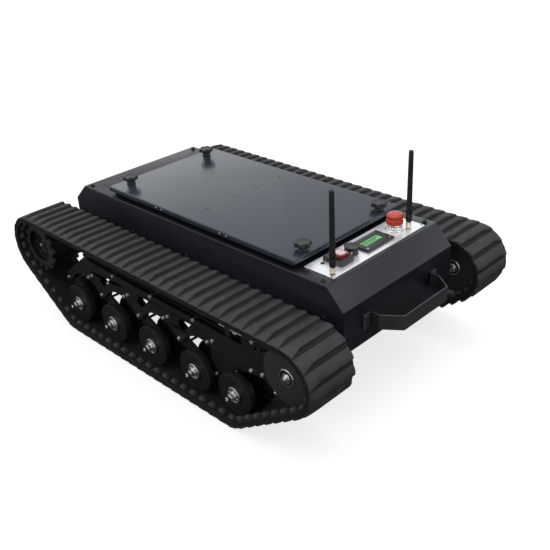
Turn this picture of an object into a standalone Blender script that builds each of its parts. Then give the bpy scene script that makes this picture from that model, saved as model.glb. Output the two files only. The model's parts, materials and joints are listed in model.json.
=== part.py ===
"""Tracked crawler chassis: sheet-metal hull, two rubber tracks, sprung road wheels.

Frame: +X toward the control panel and pull handle, +Y to the left track, +Z up.
The origin is on the floor, at the centre of the bounding box. Lengths in metres.
"""
import math

import bmesh
import bpy
from mathutils import Matrix, Vector
from mathutils.geometry import tessellate_polygon

MM = 0.001
GAP = 0.3

# hull, millimetres
DECK_Z = 344.0
HULL_BOTTOM_Z = 193.0
HULL_HALF_Y = 195.0
HULL_FRONT_X = 494.0
HULL_REAR_X = -473.0
DECK_FRONT_X = 449.5
DECK_REAR_X = -421.6
CHAMFER_Z = 297.5
SHEET = 3.0
LID_X = (-318.0, 349.0)
LID_HALF_Y = 184.0
LID_Z = (353.0, 365.0)
KNOB_X = (-288.0, 330.0)
KNOB_Y = 133.0
PANEL_X = (358.0, 441.0)
PANEL_HALF_Y = 162.0
PANEL_TOP_Z = 346.3

# control panel items
ESTOP_XY = (398.0, 103.0)
ROCKER_X = (371.0, 425.0)
ROCKER_Y = (-117.0, -75.0)
ROCKER_PIVOT_Z = 352.0
ROCKER_TILT_DEG = 8.0
METER_X = (374.0, 428.0)
METER_Y = (-30.0, 64.0)
SOCKET_XY = (400.0, -52.0)
CAP_HINGE_DX = 18.3
CAP_HINGE_Z = 363.2
ANTENNA_XY = {"right": (430.0, -152.0), "left": (424.0, 121.0)}
ANTENNA_TOP_Z = 536.0

# running gear
TRACK_Y = 295.0
TRACK_HALF_WIDTH = 66.0
CARCASS = 14.0
LUG = 6.0
LUG_PITCH = 33.6
WHEEL_X = (-319.0, -161.5, -2.0, 158.0, 294.0)
WHEEL_Z = 73.0
WHEEL_R = 52.6
SPROCKET_XZ = (-470.0, 202.0)
SPROCKET_TIP_R = 72.0
SPROCKET_ROOT_R = 60.5
SPROCKET_TEETH = 14
IDLER_XZ = (469.0, 208.0)
IDLER_R = 66.0
ARM_PIVOTS = tuple((x - 80.0, 116.0) for x in WHEEL_X[:4]) + ((205.0, 74.0),)
ARCH_R = 77.0
PLATE_OUTER_Y = (301.0, 305.0)
PLATE_INNER_Y = (285.0, 289.0)
BEAM_X = (-253.0, 224.0)
SIDES = (("right", -1.0), ("left", 1.0))


def clear_scene():
    for obj in list(bpy.data.objects):
        bpy.data.objects.remove(obj, do_unlink=True)
    for mesh in list(bpy.data.meshes):
        bpy.data.meshes.remove(mesh)


def material(name, colour, roughness, metallic):
    mat = bpy.data.materials.new(name)
    mat.use_nodes = True
    bsdf = mat.node_tree.nodes["Principled BSDF"]
    bsdf.inputs["Base Color"].default_value = (*colour, 1.0)
    bsdf.inputs["Roughness"].default_value = roughness
    bsdf.inputs["Metallic"].default_value = metallic
    mat.diffuse_color = (*colour, 1.0)
    return mat


def make_object(name, bm, mat, smooth=False):
    bmesh.ops.remove_doubles(bm, verts=bm.verts, dist=1e-7)
    bmesh.ops.recalc_face_normals(bm, faces=bm.faces)
    mesh = bpy.data.meshes.new(name)
    bm.to_mesh(mesh)
    bm.free()
    obj = bpy.data.objects.new(name, mesh)
    bpy.context.scene.collection.objects.link(obj)
    if mat is not None:
        mesh.materials.append(mat)
    if smooth:
        mesh.shade_smooth()
        mesh.set_sharp_from_angle(angle=math.radians(38.0))
    return obj


def circle(cx, cz, radius, count, start=0.0):
    """Points of a circle in a plane, counter-clockwise."""
    step = 2.0 * math.pi / count
    return [
        (cx + radius * math.cos(start + i * step), cz + radius * math.sin(start + i * step))
        for i in range(count)
    ]


def arc(cx, cz, radius, deg0, deg1, count):
    """Points of an arc from deg0 to deg1, both ends included."""
    out = []
    for i in range(count + 1):
        a = math.radians(deg0 + (deg1 - deg0) * i / count)
        out.append((cx + radius * math.cos(a), cz + radius * math.sin(a)))
    return out


def add_prism(bm, loops, lo, hi, axis="y"):
    """Extrude a flat outline with holes between lo and hi along one axis."""
    def place(p, t):
        if axis == "y":
            return Vector((p[0], t, p[1])) * MM
        if axis == "x":
            return Vector((t, p[0], p[1])) * MM
        return Vector((p[0], p[1], t)) * MM
    tris = tessellate_polygon([[Vector((p[0], p[1], 0.0)) for p in loop] for loop in loops])
    flat = [p for loop in loops for p in loop]
    low = [bm.verts.new(place(p, lo)) for p in flat]
    high = [bm.verts.new(place(p, hi)) for p in flat]
    for a, b, c in tris:
        bm.faces.new((low[a], low[b], low[c]))
        bm.faces.new((high[c], high[b], high[a]))
    first = 0
    for loop in loops:
        count = len(loop)
        for i in range(count):
            j = (i + 1) % count
            a, b = first + i, first + j
            bm.faces.new((low[a], low[b], high[b], high[a]))
        first += count


def add_box(bm, lo, hi):
    add_prism(bm, [[(lo[0], lo[1]), (hi[0], lo[1]), (hi[0], hi[1]), (lo[0], hi[1])]],
              lo[2], hi[2], axis="z")


def add_lathe(bm, profile, centre, axis, count, phase=0.0):
    """Turn a profile of (radius, position along the axis) about an axis."""
    rings = []
    for radius, along in profile:
        ring = []
        steps = 1 if radius < 1e-6 else count
        for i in range(steps):
            a = phase + 2.0 * math.pi * i / count
            u, v = radius * math.cos(a), radius * math.sin(a)
            if axis == "y":
                p = (centre[0] + u, along, centre[1] + v)
            elif axis == "x":
                p = (along, centre[0] + u, centre[1] + v)
            else:
                p = (centre[0] + u, centre[1] + v, along)
            ring.append(bm.verts.new(Vector(p) * MM))
        rings.append(ring)
    for one, two in zip(rings, rings[1:] + rings[:1]):
        if len(one) == 1 and len(two) == 1:
            continue
        for i in range(count):
            j = (i + 1) % count
            if len(one) == 1:
                bm.faces.new((one[0], two[i], two[j]))
            elif len(two) == 1:
                bm.faces.new((one[i], two[0], one[j]))
            else:
                bm.faces.new((one[i], two[i], two[j], one[j]))


def prism(name, loops, lo, hi, mat, axis="y", smooth=False):
    bm = bmesh.new()
    add_prism(bm, loops, lo, hi, axis)
    return make_object(name, bm, mat, smooth)


def box(name, lo, hi, mat):
    bm = bmesh.new()
    add_box(bm, lo, hi)
    return make_object(name, bm, mat)


def lathe(name, profile, centre, axis, count, mat, phase=0.0):
    bm = bmesh.new()
    add_lathe(bm, profile, centre, axis, count, phase)
    return make_object(name, bm, mat, smooth=True)


def rod(name, radius, lo, hi, centre, axis, count, mat):
    return lathe(name, [(0.0, lo), (radius, lo), (radius, hi), (0.0, hi)], centre, axis, count, mat)


def combine(target, other, operation):
    """Apply one exact Boolean to target and drop the other object."""
    modifier = target.modifiers.new("combine", "BOOLEAN")
    modifier.operation = operation
    modifier.solver = "EXACT"
    modifier.object = other
    graph = bpy.context.evaluated_depsgraph_get()
    result = bpy.data.meshes.new_from_object(target.evaluated_get(graph))
    target.modifiers.clear()
    old = target.data
    result.name = target.name
    target.data = result
    bpy.data.meshes.remove(old)
    mesh = other.data
    bpy.data.objects.remove(other, do_unlink=True)
    bpy.data.meshes.remove(mesh)
    return target


def cut(target, other):
    return combine(target, other, "DIFFERENCE")


def join(target, other):
    return combine(target, other, "UNION")


def set_origin(obj, point):
    """Move the object's origin to a point of its joint's axis without moving the mesh."""
    at = Vector(point) * MM
    obj.data.transform(Matrix.Translation(-at))
    obj.location = at
    return obj


def mirror_y(obj):
    """Mirror the mesh to the other side of the chassis, keeping it facing out."""
    obj.data.transform(Matrix.Scale(-1.0, 4, Vector((0.0, 1.0, 0.0))))
    obj.data.flip_normals()
    obj.location.y = -obj.location.y
    return obj


# ---------------------------------------------------------------- hull

def hull_outline(inset):
    s = inset
    k = inset * 0.42
    return [
        (HULL_REAR_X + s, HULL_BOTTOM_Z + s),
        (HULL_FRONT_X - s, HULL_BOTTOM_Z + s),
        (HULL_FRONT_X - s, CHAMFER_Z - k),
        (DECK_FRONT_X - k, DECK_Z - s),
        (DECK_REAR_X + k, DECK_Z - s),
        (HULL_REAR_X + s, CHAMFER_Z - k),
    ]


def build_hull(paint):
    hull = prism("hull_tub", [hull_outline(0.0)], -HULL_HALF_Y, HULL_HALF_Y, paint)
    inside = HULL_HALF_Y - SHEET
    cut(hull, prism("cut", [hull_outline(SHEET)], -inside, inside, None))
    bm = bmesh.new()
    add_box(bm, (-262.0, -150.0, 330.0), (304.0, 150.0, 350.0))
    add_box(bm, (366.0, -144.0, 330.0), (433.0, 146.0, 350.0))
    for x in KNOB_X:
        for y in (-KNOB_Y, KNOB_Y):
            add_lathe(bm, [(0.0, 335.0), (3.8, 335.0), (3.8, 349.0), (0.0, 349.0)], (x, y), "z", 10)
    right = ANTENNA_XY["right"]
    add_lathe(bm, [(0.0, 335.0), (3.8, 335.0), (3.8, 349.0), (0.0, 349.0)], right, "z", 10)
    cut(hull, make_object("cut", bm, None))
    return hull


def build_lid(paint, rubber, knob_black):
    x0, x1 = -308.0, 339.0
    ring = [(x0, -174.0), (x1, -174.0), (x1, 174.0), (x0, 174.0)]
    hole = [(-274.0, -154.0), (316.0, -154.0), (316.0, 154.0), (-274.0, 154.0)]
    bolts = [circle(x, y, 3.8, 10) for x in KNOB_X for y in (-KNOB_Y, KNOB_Y)]
    prism("lid_gasket", [ring, hole] + bolts, DECK_Z + GAP, LID_Z[0] - GAP, rubber, axis="z")

    lid = box("hull_lid", (LID_X[0], -LID_HALF_Y, LID_Z[0]), (LID_X[1], LID_HALF_Y, LID_Z[1]), paint)
    bm = bmesh.new()
    add_box(bm, (-270.0, -150.0, 350.0), (312.0, 150.0, LID_Z[1] - SHEET))
    for y in (134.0, 50.0, -27.0, -115.0):
        add_lathe(bm, [(0.0, 358.0), (2.6, 358.0), (2.6, 368.0), (0.0, 368.0)], (0.0, y), "z", 10)
    for x in KNOB_X:
        for y in (-KNOB_Y, KNOB_Y):
            add_lathe(bm, [(0.0, 350.0), (3.6, 350.0), (3.6, 368.0), (0.0, 368.0)], (x, y), "z", 10)
    cut(lid, make_object("cut", bm, None))
    set_origin(lid, (0.5 * (LID_X[0] + LID_X[1]), 0.0, LID_Z[0]))

    for x, end in zip(KNOB_X, ("rear", "front")):
        for side, sign in SIDES:
            centre = (x, sign * KNOB_Y)
            knob = lathe(
                "lid_knob_%s_%s" % (end, side),
                [(0.0, 336.0), (3.0, 336.0), (3.0, LID_Z[1] + GAP), (12.0, LID_Z[1] + GAP),
                 (11.5, 377.0), (0.0, 377.0)],
                centre, "z", 12, knob_black)
            lobes = []
            for i in range(24):
                a = 2.0 * math.pi * i / 24
                r = 20.0 if i % 4 < 2 else 16.0
                lobes.append((centre[0] + r * math.cos(a), centre[1] + r * math.sin(a)))
            join(knob, prism("head", [lobes], 375.0, 386.0, None, axis="z"))
            set_origin(knob, (centre[0], centre[1], LID_Z[1]))


def build_panel(steel, black, red, chrome, brass, whip):
    x0, x1 = PANEL_X
    outline = [(x0, -PANEL_HALF_Y), (x1, -PANEL_HALF_Y), (x1, PANEL_HALF_Y), (x0, PANEL_HALF_Y)]
    holes = [circle(*ESTOP_XY, 12.0, 16), circle(*SOCKET_XY, 9.5, 16)]
    holes.append([(378.5, -110.5), (417.5, -110.5), (417.5, -81.5), (378.5, -81.5)])
    holes.append([(384.0, -20.0), (418.0, -20.0), (418.0, 54.0), (384.0, 54.0)])
    for xy in ANTENNA_XY.values():
        holes.append(circle(*xy, 3.6, 10))
    prism("control_panel", [outline] + holes, DECK_Z + GAP, PANEL_TOP_Z, steel, axis="z")

    top = PANEL_TOP_Z + GAP
    lathe("estop_base",
          [(7.0, 330.0), (11.0, 330.0), (11.0, top), (21.5, top), (21.5, 349.5), (20.0, 350.5),
           (20.0, 356.0), (15.5, 356.0), (15.5, 366.0), (7.0, 366.0)],
          ESTOP_XY, "z", 18, chrome)
    plunger = rod("estop_plunger", 6.2, 334.0, 371.7, ESTOP_XY, "z", 14, black)
    set_origin(plunger, (*ESTOP_XY, 371.7))
    head = lathe("estop_head",
                 [(0.0, 372.0), (16.4, 372.0), (16.4, 360.4), (19.0, 360.4), (20.0, 362.0),
                  (20.0, 372.0), (18.6, 373.0), (18.6, 375.0), (20.0, 376.5), (19.4, 384.0),
                  (17.0, 386.0), (0.0, 386.0)],
                 ESTOP_XY, "z", 18, red)
    set_origin(head, (*ESTOP_XY, 372.0))

    cx = 0.5 * (ROCKER_X[0] + ROCKER_X[1])
    cy = 0.5 * (ROCKER_Y[0] + ROCKER_Y[1])
    housing = box("rocker_housing", (ROCKER_X[0], ROCKER_Y[0], top), (ROCKER_X[1], ROCKER_Y[1], 358.0), black)
    join(housing, box("body", (cx - 18.5, cy - 13.0, 322.0), (cx + 18.5, cy + 13.0, 350.0), None))
    cut(housing, box("cut", (cx - 16.5, cy - 11.0, 328.0), (cx + 16.5, cy + 11.0, 362.0), None))
    tilt = math.radians(-ROCKER_TILT_DEG)
    loop = []
    for a, b in ((-16.5, 15.0), (-16.5, 9.4), (-9.5, 7.3), (-9.0, -7.0), (9.0, -7.0), (9.5, 7.3),
                 (16.5, 9.4), (16.5, 15.0), (0.0, 12.6)):
        loop.append((cy + a * math.cos(tilt) - b * math.sin(tilt),
                     ROCKER_PIVOT_Z + a * math.sin(tilt) + b * math.cos(tilt)))
    rocker = prism("rocker_switch", [loop], cx - 15.8, cx + 15.8, red, axis="x")
    set_origin(rocker, (cx, cy, ROCKER_PIVOT_Z))

    meter = box("charge_meter", (METER_X[0], METER_Y[0], top), (METER_X[1], METER_Y[1], 352.0), black)
    join(meter, box("body", (385.5, -18.5, 334.0), (416.5, 52.5, 350.0), None))
    cut(meter, box("cut", (388.0, -14.0, 350.6), (408.0, 46.0, 354.0), None))
    socket = lathe("charge_socket",
                   [(0.0, 340.0), (6.0, 340.0), (6.0, 361.0), (14.0, 361.0), (14.0, top),
                    (9.0, top), (9.0, 332.0), (0.0, 332.0)],
                   SOCKET_XY, "z", 16, black)
    cap = lathe("charge_cap", [(0.0, 361.4), (16.5, 361.4), (16.5, 364.5), (15.0, 366.0), (0.0, 366.0)],
                SOCKET_XY, "z", 16, black)
    sx, sy = SOCKET_XY
    join(socket, box("post", (sx - 20.5, sy - 3.0, top), (sx - 11.0, sy + 3.0, 350.0), None))
    join(socket, box("post", (sx - 20.5, sy - 3.0, 348.0), (sx - 16.0, sy + 3.0, 360.0), None))
    join(cap, box("lug", (sx - 20.5, sy - 4.0, 361.4), (sx - 12.0, sy + 4.0, 365.0), None))
    set_origin(cap, (sx - CAP_HINGE_DX, sy, CAP_HINGE_Z))

    for side, _ in SIDES:
        xy = ANTENNA_XY[side]
        lathe("antenna_socket_" + side,
              [(0.0, 334.0), (3.2, 334.0), (3.2, top), (6.0, top), (6.0, 349.5), (3.0, 349.5),
               (3.0, 360.0), (0.0, 360.0)],
              xy, "z", 12, brass)
        antenna = lathe(
            "antenna_" + side,
            [(0.0, 360.4), (3.4, 360.4), (3.4, 351.0), (5.2, 351.0), (5.2, 367.0), (7.2, 367.5),
             (7.2, 395.0), (6.6, 400.0), (6.0, ANTENNA_TOP_Z - 2.0), (4.4, ANTENNA_TOP_Z),
             (0.0, ANTENNA_TOP_Z)],
            xy, "z", 12, whip)
        set_origin(antenna, (*xy, 360.4))


def build_handle(paint):
    t = 3.0
    outer = [(520.0, 110.0), (562.8, 79.0)]
    inner = [(519.0, 107.2), (559.0, 77.6)]
    half = [(HULL_FRONT_X + GAP, 132.0), (HULL_FRONT_X + GAP + t, 132.0),
            (HULL_FRONT_X + GAP + t, 110.0)] + outer
    back = [(inner[1][0], inner[1][1]), (inner[0][0], inner[0][1]), (HULL_FRONT_X + GAP, 107.0)]
    loop = half + [(x, -y) for x, y in reversed(half)]
    loop += [(x, -y) for x, y in reversed(back)] + back
    prism("pull_handle", [loop], 228.0, 264.0, paint, axis="z")


# ---------------------------------------------------------------- running gear

def belt_path():
    """Inner face of the belt as straight runs and arcs: circles with clearance."""
    circles = [
        (SPROCKET_XZ[0], SPROCKET_XZ[1], SPROCKET_TIP_R + 1.0),
        (IDLER_XZ[0], IDLER_XZ[1], IDLER_R + 0.4),
        (WHEEL_X[4], WHEEL_Z, WHEEL_R + 0.4),
        (WHEEL_X[0], WHEEL_Z, WHEEL_R + 0.4),
    ]
    tangents = []
    count = len(circles)
    for i in range(count):
        x0, z0, r0 = circles[i]
        x1, z1, r1 = circles[(i + 1) % count]
        dx, dz = x1 - x0, z1 - z0
        dist = math.hypot(dx, dz)
        base = math.atan2(dz, dx)
        turn = math.acos((r0 - r1) / dist)
        tangents.append(base + turn)
    pieces = []
    for i in range(count):
        cx, cz, r = circles[i]
        start = tangents[i - 1]
        end = tangents[i]
        while start < end:
            start += 2.0 * math.pi
        pieces.append(("arc", cx, cz, r, start, end))
        nx, nz, nr = circles[(i + 1) % count]
        p0 = (cx + r * math.cos(end), cz + r * math.sin(end))
        p1 = (nx + nr * math.cos(end), nz + nr * math.sin(end))
        pieces.append(("line", p0, p1, end))
    return pieces


def path_lengths(pieces, offset):
    out = []
    for piece in pieces:
        if piece[0] == "arc":
            out.append((piece[3] + offset) * (piece[4] - piece[5]))
        else:
            out.append(math.dist(piece[1], piece[2]))
    return out


def path_point(pieces, lengths, s):
    """Point on the inner face, outward normal and arc radius at pitch-line length s."""
    s = s % sum(lengths)
    for piece, length in zip(pieces, lengths):
        if s <= length:
            t = s / length
            if piece[0] == "arc":
                a = piece[4] + (piece[5] - piece[4]) * t
                n = (math.cos(a), math.sin(a))
                return (piece[1] + piece[3] * n[0], piece[2] + piece[3] * n[1]), n, piece[3]
            n = (math.cos(piece[3]), math.sin(piece[3]))
            p0, p1 = piece[1], piece[2]
            return (p0[0] + (p1[0] - p0[0]) * t, p0[1] + (p1[1] - p0[1]) * t), n, 0.0
        s -= length
    raise ValueError("length outside the path")


def build_belt(rubber):
    pieces = belt_path()
    lengths = path_lengths(pieces, 0.5 * CARCASS)
    total = sum(lengths)
    lugs = round(total / LUG_PITCH)
    pitch = total / lugs
    sides = (TRACK_Y - TRACK_HALF_WIDTH, TRACK_Y + TRACK_HALF_WIDTH)
    bm = bmesh.new()

    def column(frac, k, depth, on_inside=False):
        """Two vertices across the belt at one station, depth above the inner face."""
        p, n, radius = path_point(pieces, lengths, (k + frac) * pitch)
        if on_inside and radius > 0.0:
            depth += radius / math.cos(0.27 * pitch / radius) - radius
        x, z = p[0] + n[0] * depth, p[1] + n[1] * depth
        return [bm.verts.new(Vector((x, y, z)) * MM) for y in sides]

    inner, outer = [], []
    for k in range(lugs):
        for frac in (0.0, 0.5):
            inner.append(column(frac, k, 0.0, on_inside=True))
        for frac, height in ((0.0, 0.0), (0.30, LUG), (0.62, LUG), (0.70, 0.0)):
            outer.append(column(frac, k, CARCASS + height))
    for loop in (inner, outer):
        for one, two in zip(loop, loop[1:] + loop[:1]):
            bm.faces.new((one[0], one[1], two[1], two[0]))
    for k in range(lugs):
        i0, i1, i2 = inner[2 * k], inner[2 * k + 1], inner[(2 * k + 2) % (2 * lugs)]
        o0, o1, o2, o3 = outer[4 * k:4 * k + 4]
        o4 = outer[(4 * k + 4) % (4 * lugs)]
        for e in (0, 1):
            bm.faces.new((i0[e], i1[e], o2[e], o1[e], o0[e]))
            bm.faces.new((i1[e], i2[e], o4[e], o3[e], o2[e]))
    return make_object("track_belt_left", bm, rubber)


def plate_outline():
    """Side frame plate: top band with a leg down to every arm pivot."""
    w = WHEEL_X
    pts = [(-310.0, 203.0), (-352.0, 170.0), (-410.0, 126.0), (-412.0, 114.0), (-402.0, 104.0),
           (-390.0, 106.0)]
    for i in range(4):
        left = 149.0 if i == 0 else 151.0
        right = 29.0 if i < 3 else 62.0
        pts += arc(w[i], WHEEL_Z, ARCH_R, left, right, 7)
        if i < 3:
            px, pz = ARM_PIVOTS[i + 1]
            pts += [(px - 8.0, pz - 11.0), (px + 8.0, pz - 11.0)]
    pts += [(193.0, 120.0), (192.0, 72.0), (198.0, 62.0), (209.0, 61.0), (217.0, 68.0),
            (242.0, 93.0), (266.0, 110.0), (314.0, 130.0), (372.0, 135.0), (424.0, 166.0)]
    pts += arc(IDLER_XZ[0], IDLER_XZ[1], 40.0, -100.0, 60.0, 6)
    pts += [(430.0, 254.0), (306.0, 252.0), (300.0, 193.0)]
    return pts


def plate_holes():
    holes = []
    for px, pz in ARM_PIVOTS:
        holes.append(circle(px, pz, 6.7, 8))
    for i, x in enumerate(WHEEL_X[1:4]):
        drop = 1.5 * i
        holes.append([(x - 70.0, 178.0 - drop), (x - 78.0, 156.0 - drop), (x - 66.0, 147.0 - drop),
                      (x - 50.0, 155.0 - drop), (x - 28.0, 180.0 - 1.2 * drop)])
    cx, cz = IDLER_XZ
    slot = arc(cx + 3.0, cz, 9.8, -90.0, 90.0, 5) + arc(cx - 14.0, cz, 9.8, 90.0, 270.0, 5)
    holes.append(slot)
    return holes


def build_frame(paint):
    loops = [plate_outline()] + plate_holes()
    outer = prism("frame_plate_outer_left", loops, *PLATE_OUTER_Y, paint)
    inner = prism("frame_plate_inner_left", loops, *PLATE_INNER_Y, paint)
    anchor = box("anchor", (244.0, 287.0, 180.0), (258.0, 300.4, 224.0), None)
    cut(anchor, rod("cut", 4.6, 230.0, 270.0, (295.0, 212.0), "x", 10, None))
    join(inner, anchor)
    return outer, inner


def build_arm(index, steel):
    (px, pz), (wx, wz) = ARM_PIVOTS[index], (WHEEL_X[index], WHEEL_Z)
    angle = math.degrees(math.atan2(wz - pz, wx - px))
    loop = arc(px, pz, 13.0, angle + 100.0, angle + 260.0, 4)
    loop += arc(wx, wz, 17.0, angle - 95.0, angle + 95.0, 5)
    lo, hi = PLATE_INNER_Y[1] + GAP + 1.0, PLATE_OUTER_Y[0] - GAP - 1.0
    arm = prism("swing_arm_%d_left" % (index + 1), [loop, circle(wx, wz, 8.7, 10)], lo, hi, steel)
    head = 9.0
    pin = lathe("pin", [(0.0, 281.0), (head, 281.0), (head, PLATE_INNER_Y[0] - GAP),
                        (6.0, PLATE_INNER_Y[0] - GAP), (6.0, PLATE_OUTER_Y[1] + GAP),
                        (head, PLATE_OUTER_Y[1] + GAP), (head, 309.0), (0.0, 309.0)],
                (px, pz), "y", 8, None)
    return set_origin(join(arm, pin), (px, TRACK_Y, pz))


def build_wheel(index, grey):
    r = WHEEL_R
    wheel = lathe("road_wheel_%d_left" % (index + 1),
                  [(0.0, 258.0), (r, 258.0), (r, 276.0), (8.0, 276.0), (8.0, 314.0), (r, 314.0),
                   (r, 332.0), (19.0, 332.0), (19.0, 343.0), (7.0, 343.0), (7.0, 356.0),
                   (0.0, 356.0)],
                  (WHEEL_X[index], WHEEL_Z), "y", 16, grey)
    return set_origin(wheel, (WHEEL_X[index], TRACK_Y, WHEEL_Z))


def gear_loop(cx, cz):
    loop = []
    step = 2.0 * math.pi / SPROCKET_TEETH
    for k in range(SPROCKET_TEETH):
        for frac, r in ((-0.32, SPROCKET_ROOT_R), (-0.20, SPROCKET_TIP_R), (0.20, SPROCKET_TIP_R),
                        (0.32, SPROCKET_ROOT_R)):
            a = (k + frac) * step
            loop.append((cx + r * math.cos(a), cz + r * math.sin(a)))
    return loop


def build_sprocket(grey):
    drum = lathe("drive_sprocket_left",
                 [(42.0, 250.0), (47.0, 250.0), (47.0, 340.0), (43.0, 340.0), (43.0, 325.0),
                  (13.0, 325.0), (13.0, 336.0), (0.0, 336.0), (0.0, 319.0), (42.0, 319.0)],
                 SPROCKET_XZ, "y", 14, grey)
    for lo, hi in ((251.0, 260.0), (330.0, 339.0)):
        hole = circle(*SPROCKET_XZ, 45.4, 14, 0.11)
        join(drum, prism("ring", [gear_loop(*SPROCKET_XZ), hole], lo, hi, None))
    return set_origin(drum, (SPROCKET_XZ[0], TRACK_Y, SPROCKET_XZ[1]))


def build_drive(metal):
    plate = [(-512.0, 196.0), (-500.0, 160.0), (-440.0, 160.0), (-392.0, 200.0), (-392.0, 240.0),
             (-430.0, 262.0), (-480.0, 262.0), (-500.0, 246.0)]
    drive = prism("hub_motor_left", [plate], HULL_HALF_Y + GAP, HULL_HALF_Y + GAP + 6.0, metal)
    body = lathe("body", [(0.0, 199.0), (40.0, 199.0), (38.0, 214.0), (38.0, 312.0), (14.0, 312.0),
                          (14.0, 318.6), (0.0, 318.6)], SPROCKET_XZ, "y", 24, None)
    return join(drive, body)


def build_idler(grey):
    r = IDLER_R
    idler = lathe("idler_wheel_left",
                  [(0.0, 250.0), (r, 250.0), (r, 270.0), (9.0, 270.0), (9.0, 320.0), (r, 320.0),
                   (r, 340.0), (17.0, 340.0), (17.0, 346.0), (0.0, 346.0)],
                  IDLER_XZ, "y", 20, grey)
    return set_origin(idler, (IDLER_XZ[0], TRACK_Y, IDLER_XZ[1]))


def build_carrier(steel):
    cx, cz = IDLER_XZ
    loop = [(310.0, 202.0), (440.0, 194.0)] + arc(cx, cz, 17.0, -90.0, 90.0, 6)
    loop += [(440.0, 222.0), (310.0, 222.0)]
    lo, hi = PLATE_INNER_Y[1] + GAP, PLATE_OUTER_Y[0] - GAP
    carrier = prism("idler_carrier_left", [loop, circle(cx, cz, 9.5, 14)], lo, hi, steel)
    screw = lathe("screw", [(0.0, 222.0), (4.0, 222.0), (4.0, 270.0), (7.0, 270.0),
                            (7.0, 280.0), (4.0, 280.0), (4.0, 315.0), (0.0, 315.0)],
                  (TRACK_Y, 212.0), "x", 10, None)
    return set_origin(join(carrier, screw), (IDLER_XZ[0], TRACK_Y, IDLER_XZ[1]))


def finish_side(obj, side, sign):
    """Keep the left-hand original, or turn it into the right-hand part."""
    if sign < 0.0:
        obj.name = obj.name.replace("_left", "_" + side)
        obj.data.name = obj.name
        mirror_y(obj)


def build_side(side, sign, mats):
    made = [build_belt(mats["rubber"])]
    made += list(build_frame(mats["plate"]))
    for i in range(len(WHEEL_X)):
        made.append(build_arm(i, mats["plate"]))
        made.append(build_wheel(i, mats["wheel"]))
    made.append(build_sprocket(mats["wheel"]))
    made.append(build_drive(mats["motor"]))
    made.append(build_idler(mats["wheel"]))
    made.append(build_carrier(mats["steel"]))
    for obj in made:
        finish_side(obj, side, sign)


def build_inside(paint, battery, controller):
    box("battery_pack", (-250.0, -110.0, 196.3), (-20.0, 110.0, 286.0), battery)
    box("motor_controller", (60.0, -90.0, 196.3), (240.0, 90.0, 244.0), controller)
    for x, end in zip(BEAM_X, ("rear", "front")):
        reach = PLATE_INNER_Y[0] - GAP
        box("belly_beam_" + end, (x - 11.0, -reach, 160.0), (x + 11.0, reach, HULL_BOTTOM_Z - GAP), paint)


def main():
    clear_scene()
    paint = material("black_paint", (0.045, 0.048, 0.052), 0.42, 0.0)
    steel = material("zinc_steel", (0.55, 0.55, 0.54), 0.35, 1.0)
    brushed = material("brushed_steel", (0.80, 0.80, 0.79), 0.30, 1.0)
    black = material("black_plastic", (0.02, 0.02, 0.02), 0.45, 0.0)
    red = material("red_plastic", (0.62, 0.04, 0.03), 0.30, 0.0)
    chrome = material("chrome", (0.75, 0.75, 0.75), 0.12, 1.0)
    brass = material("brass", (0.72, 0.55, 0.25), 0.30, 1.0)
    whip = material("antenna_rubber", (0.03, 0.03, 0.03), 0.60, 0.0)
    rubber = material("track_rubber", (0.05, 0.05, 0.05), 0.80, 0.0)
    plate = material("anodised_plate", (0.13, 0.13, 0.135), 0.40, 0.6)
    wheel = material("wheel_grey", (0.15, 0.15, 0.155), 0.50, 0.2)
    motor = material("motor_metal", (0.30, 0.30, 0.31), 0.40, 0.9)
    battery = material("battery_blue", (0.05, 0.12, 0.35), 0.50, 0.0)
    controller = material("controller_metal", (0.35, 0.36, 0.38), 0.40, 0.8)

    build_hull(paint)
    build_lid(paint, rubber, black)
    build_panel(brushed, black, red, chrome, brass, whip)
    build_handle(paint)
    build_inside(paint, battery, controller)
    mats = {"rubber": rubber, "plate": plate, "steel": steel, "wheel": wheel, "motor": motor}
    for side, sign in SIDES:
        build_side(side, sign, mats)


main()
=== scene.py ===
"""Looks of the tracked crawler chassis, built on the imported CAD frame.

Helper functions take millimetres in the row frame: +X to the control panel, +Y left, +Z up.
Side pieces are written for the left track, with |y| growing outward, and mirrored for the right.
"""
import json
import math

import bmesh
import bpy
from mathutils import Matrix, Vector
from mathutils.geometry import tessellate_polygon

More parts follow.
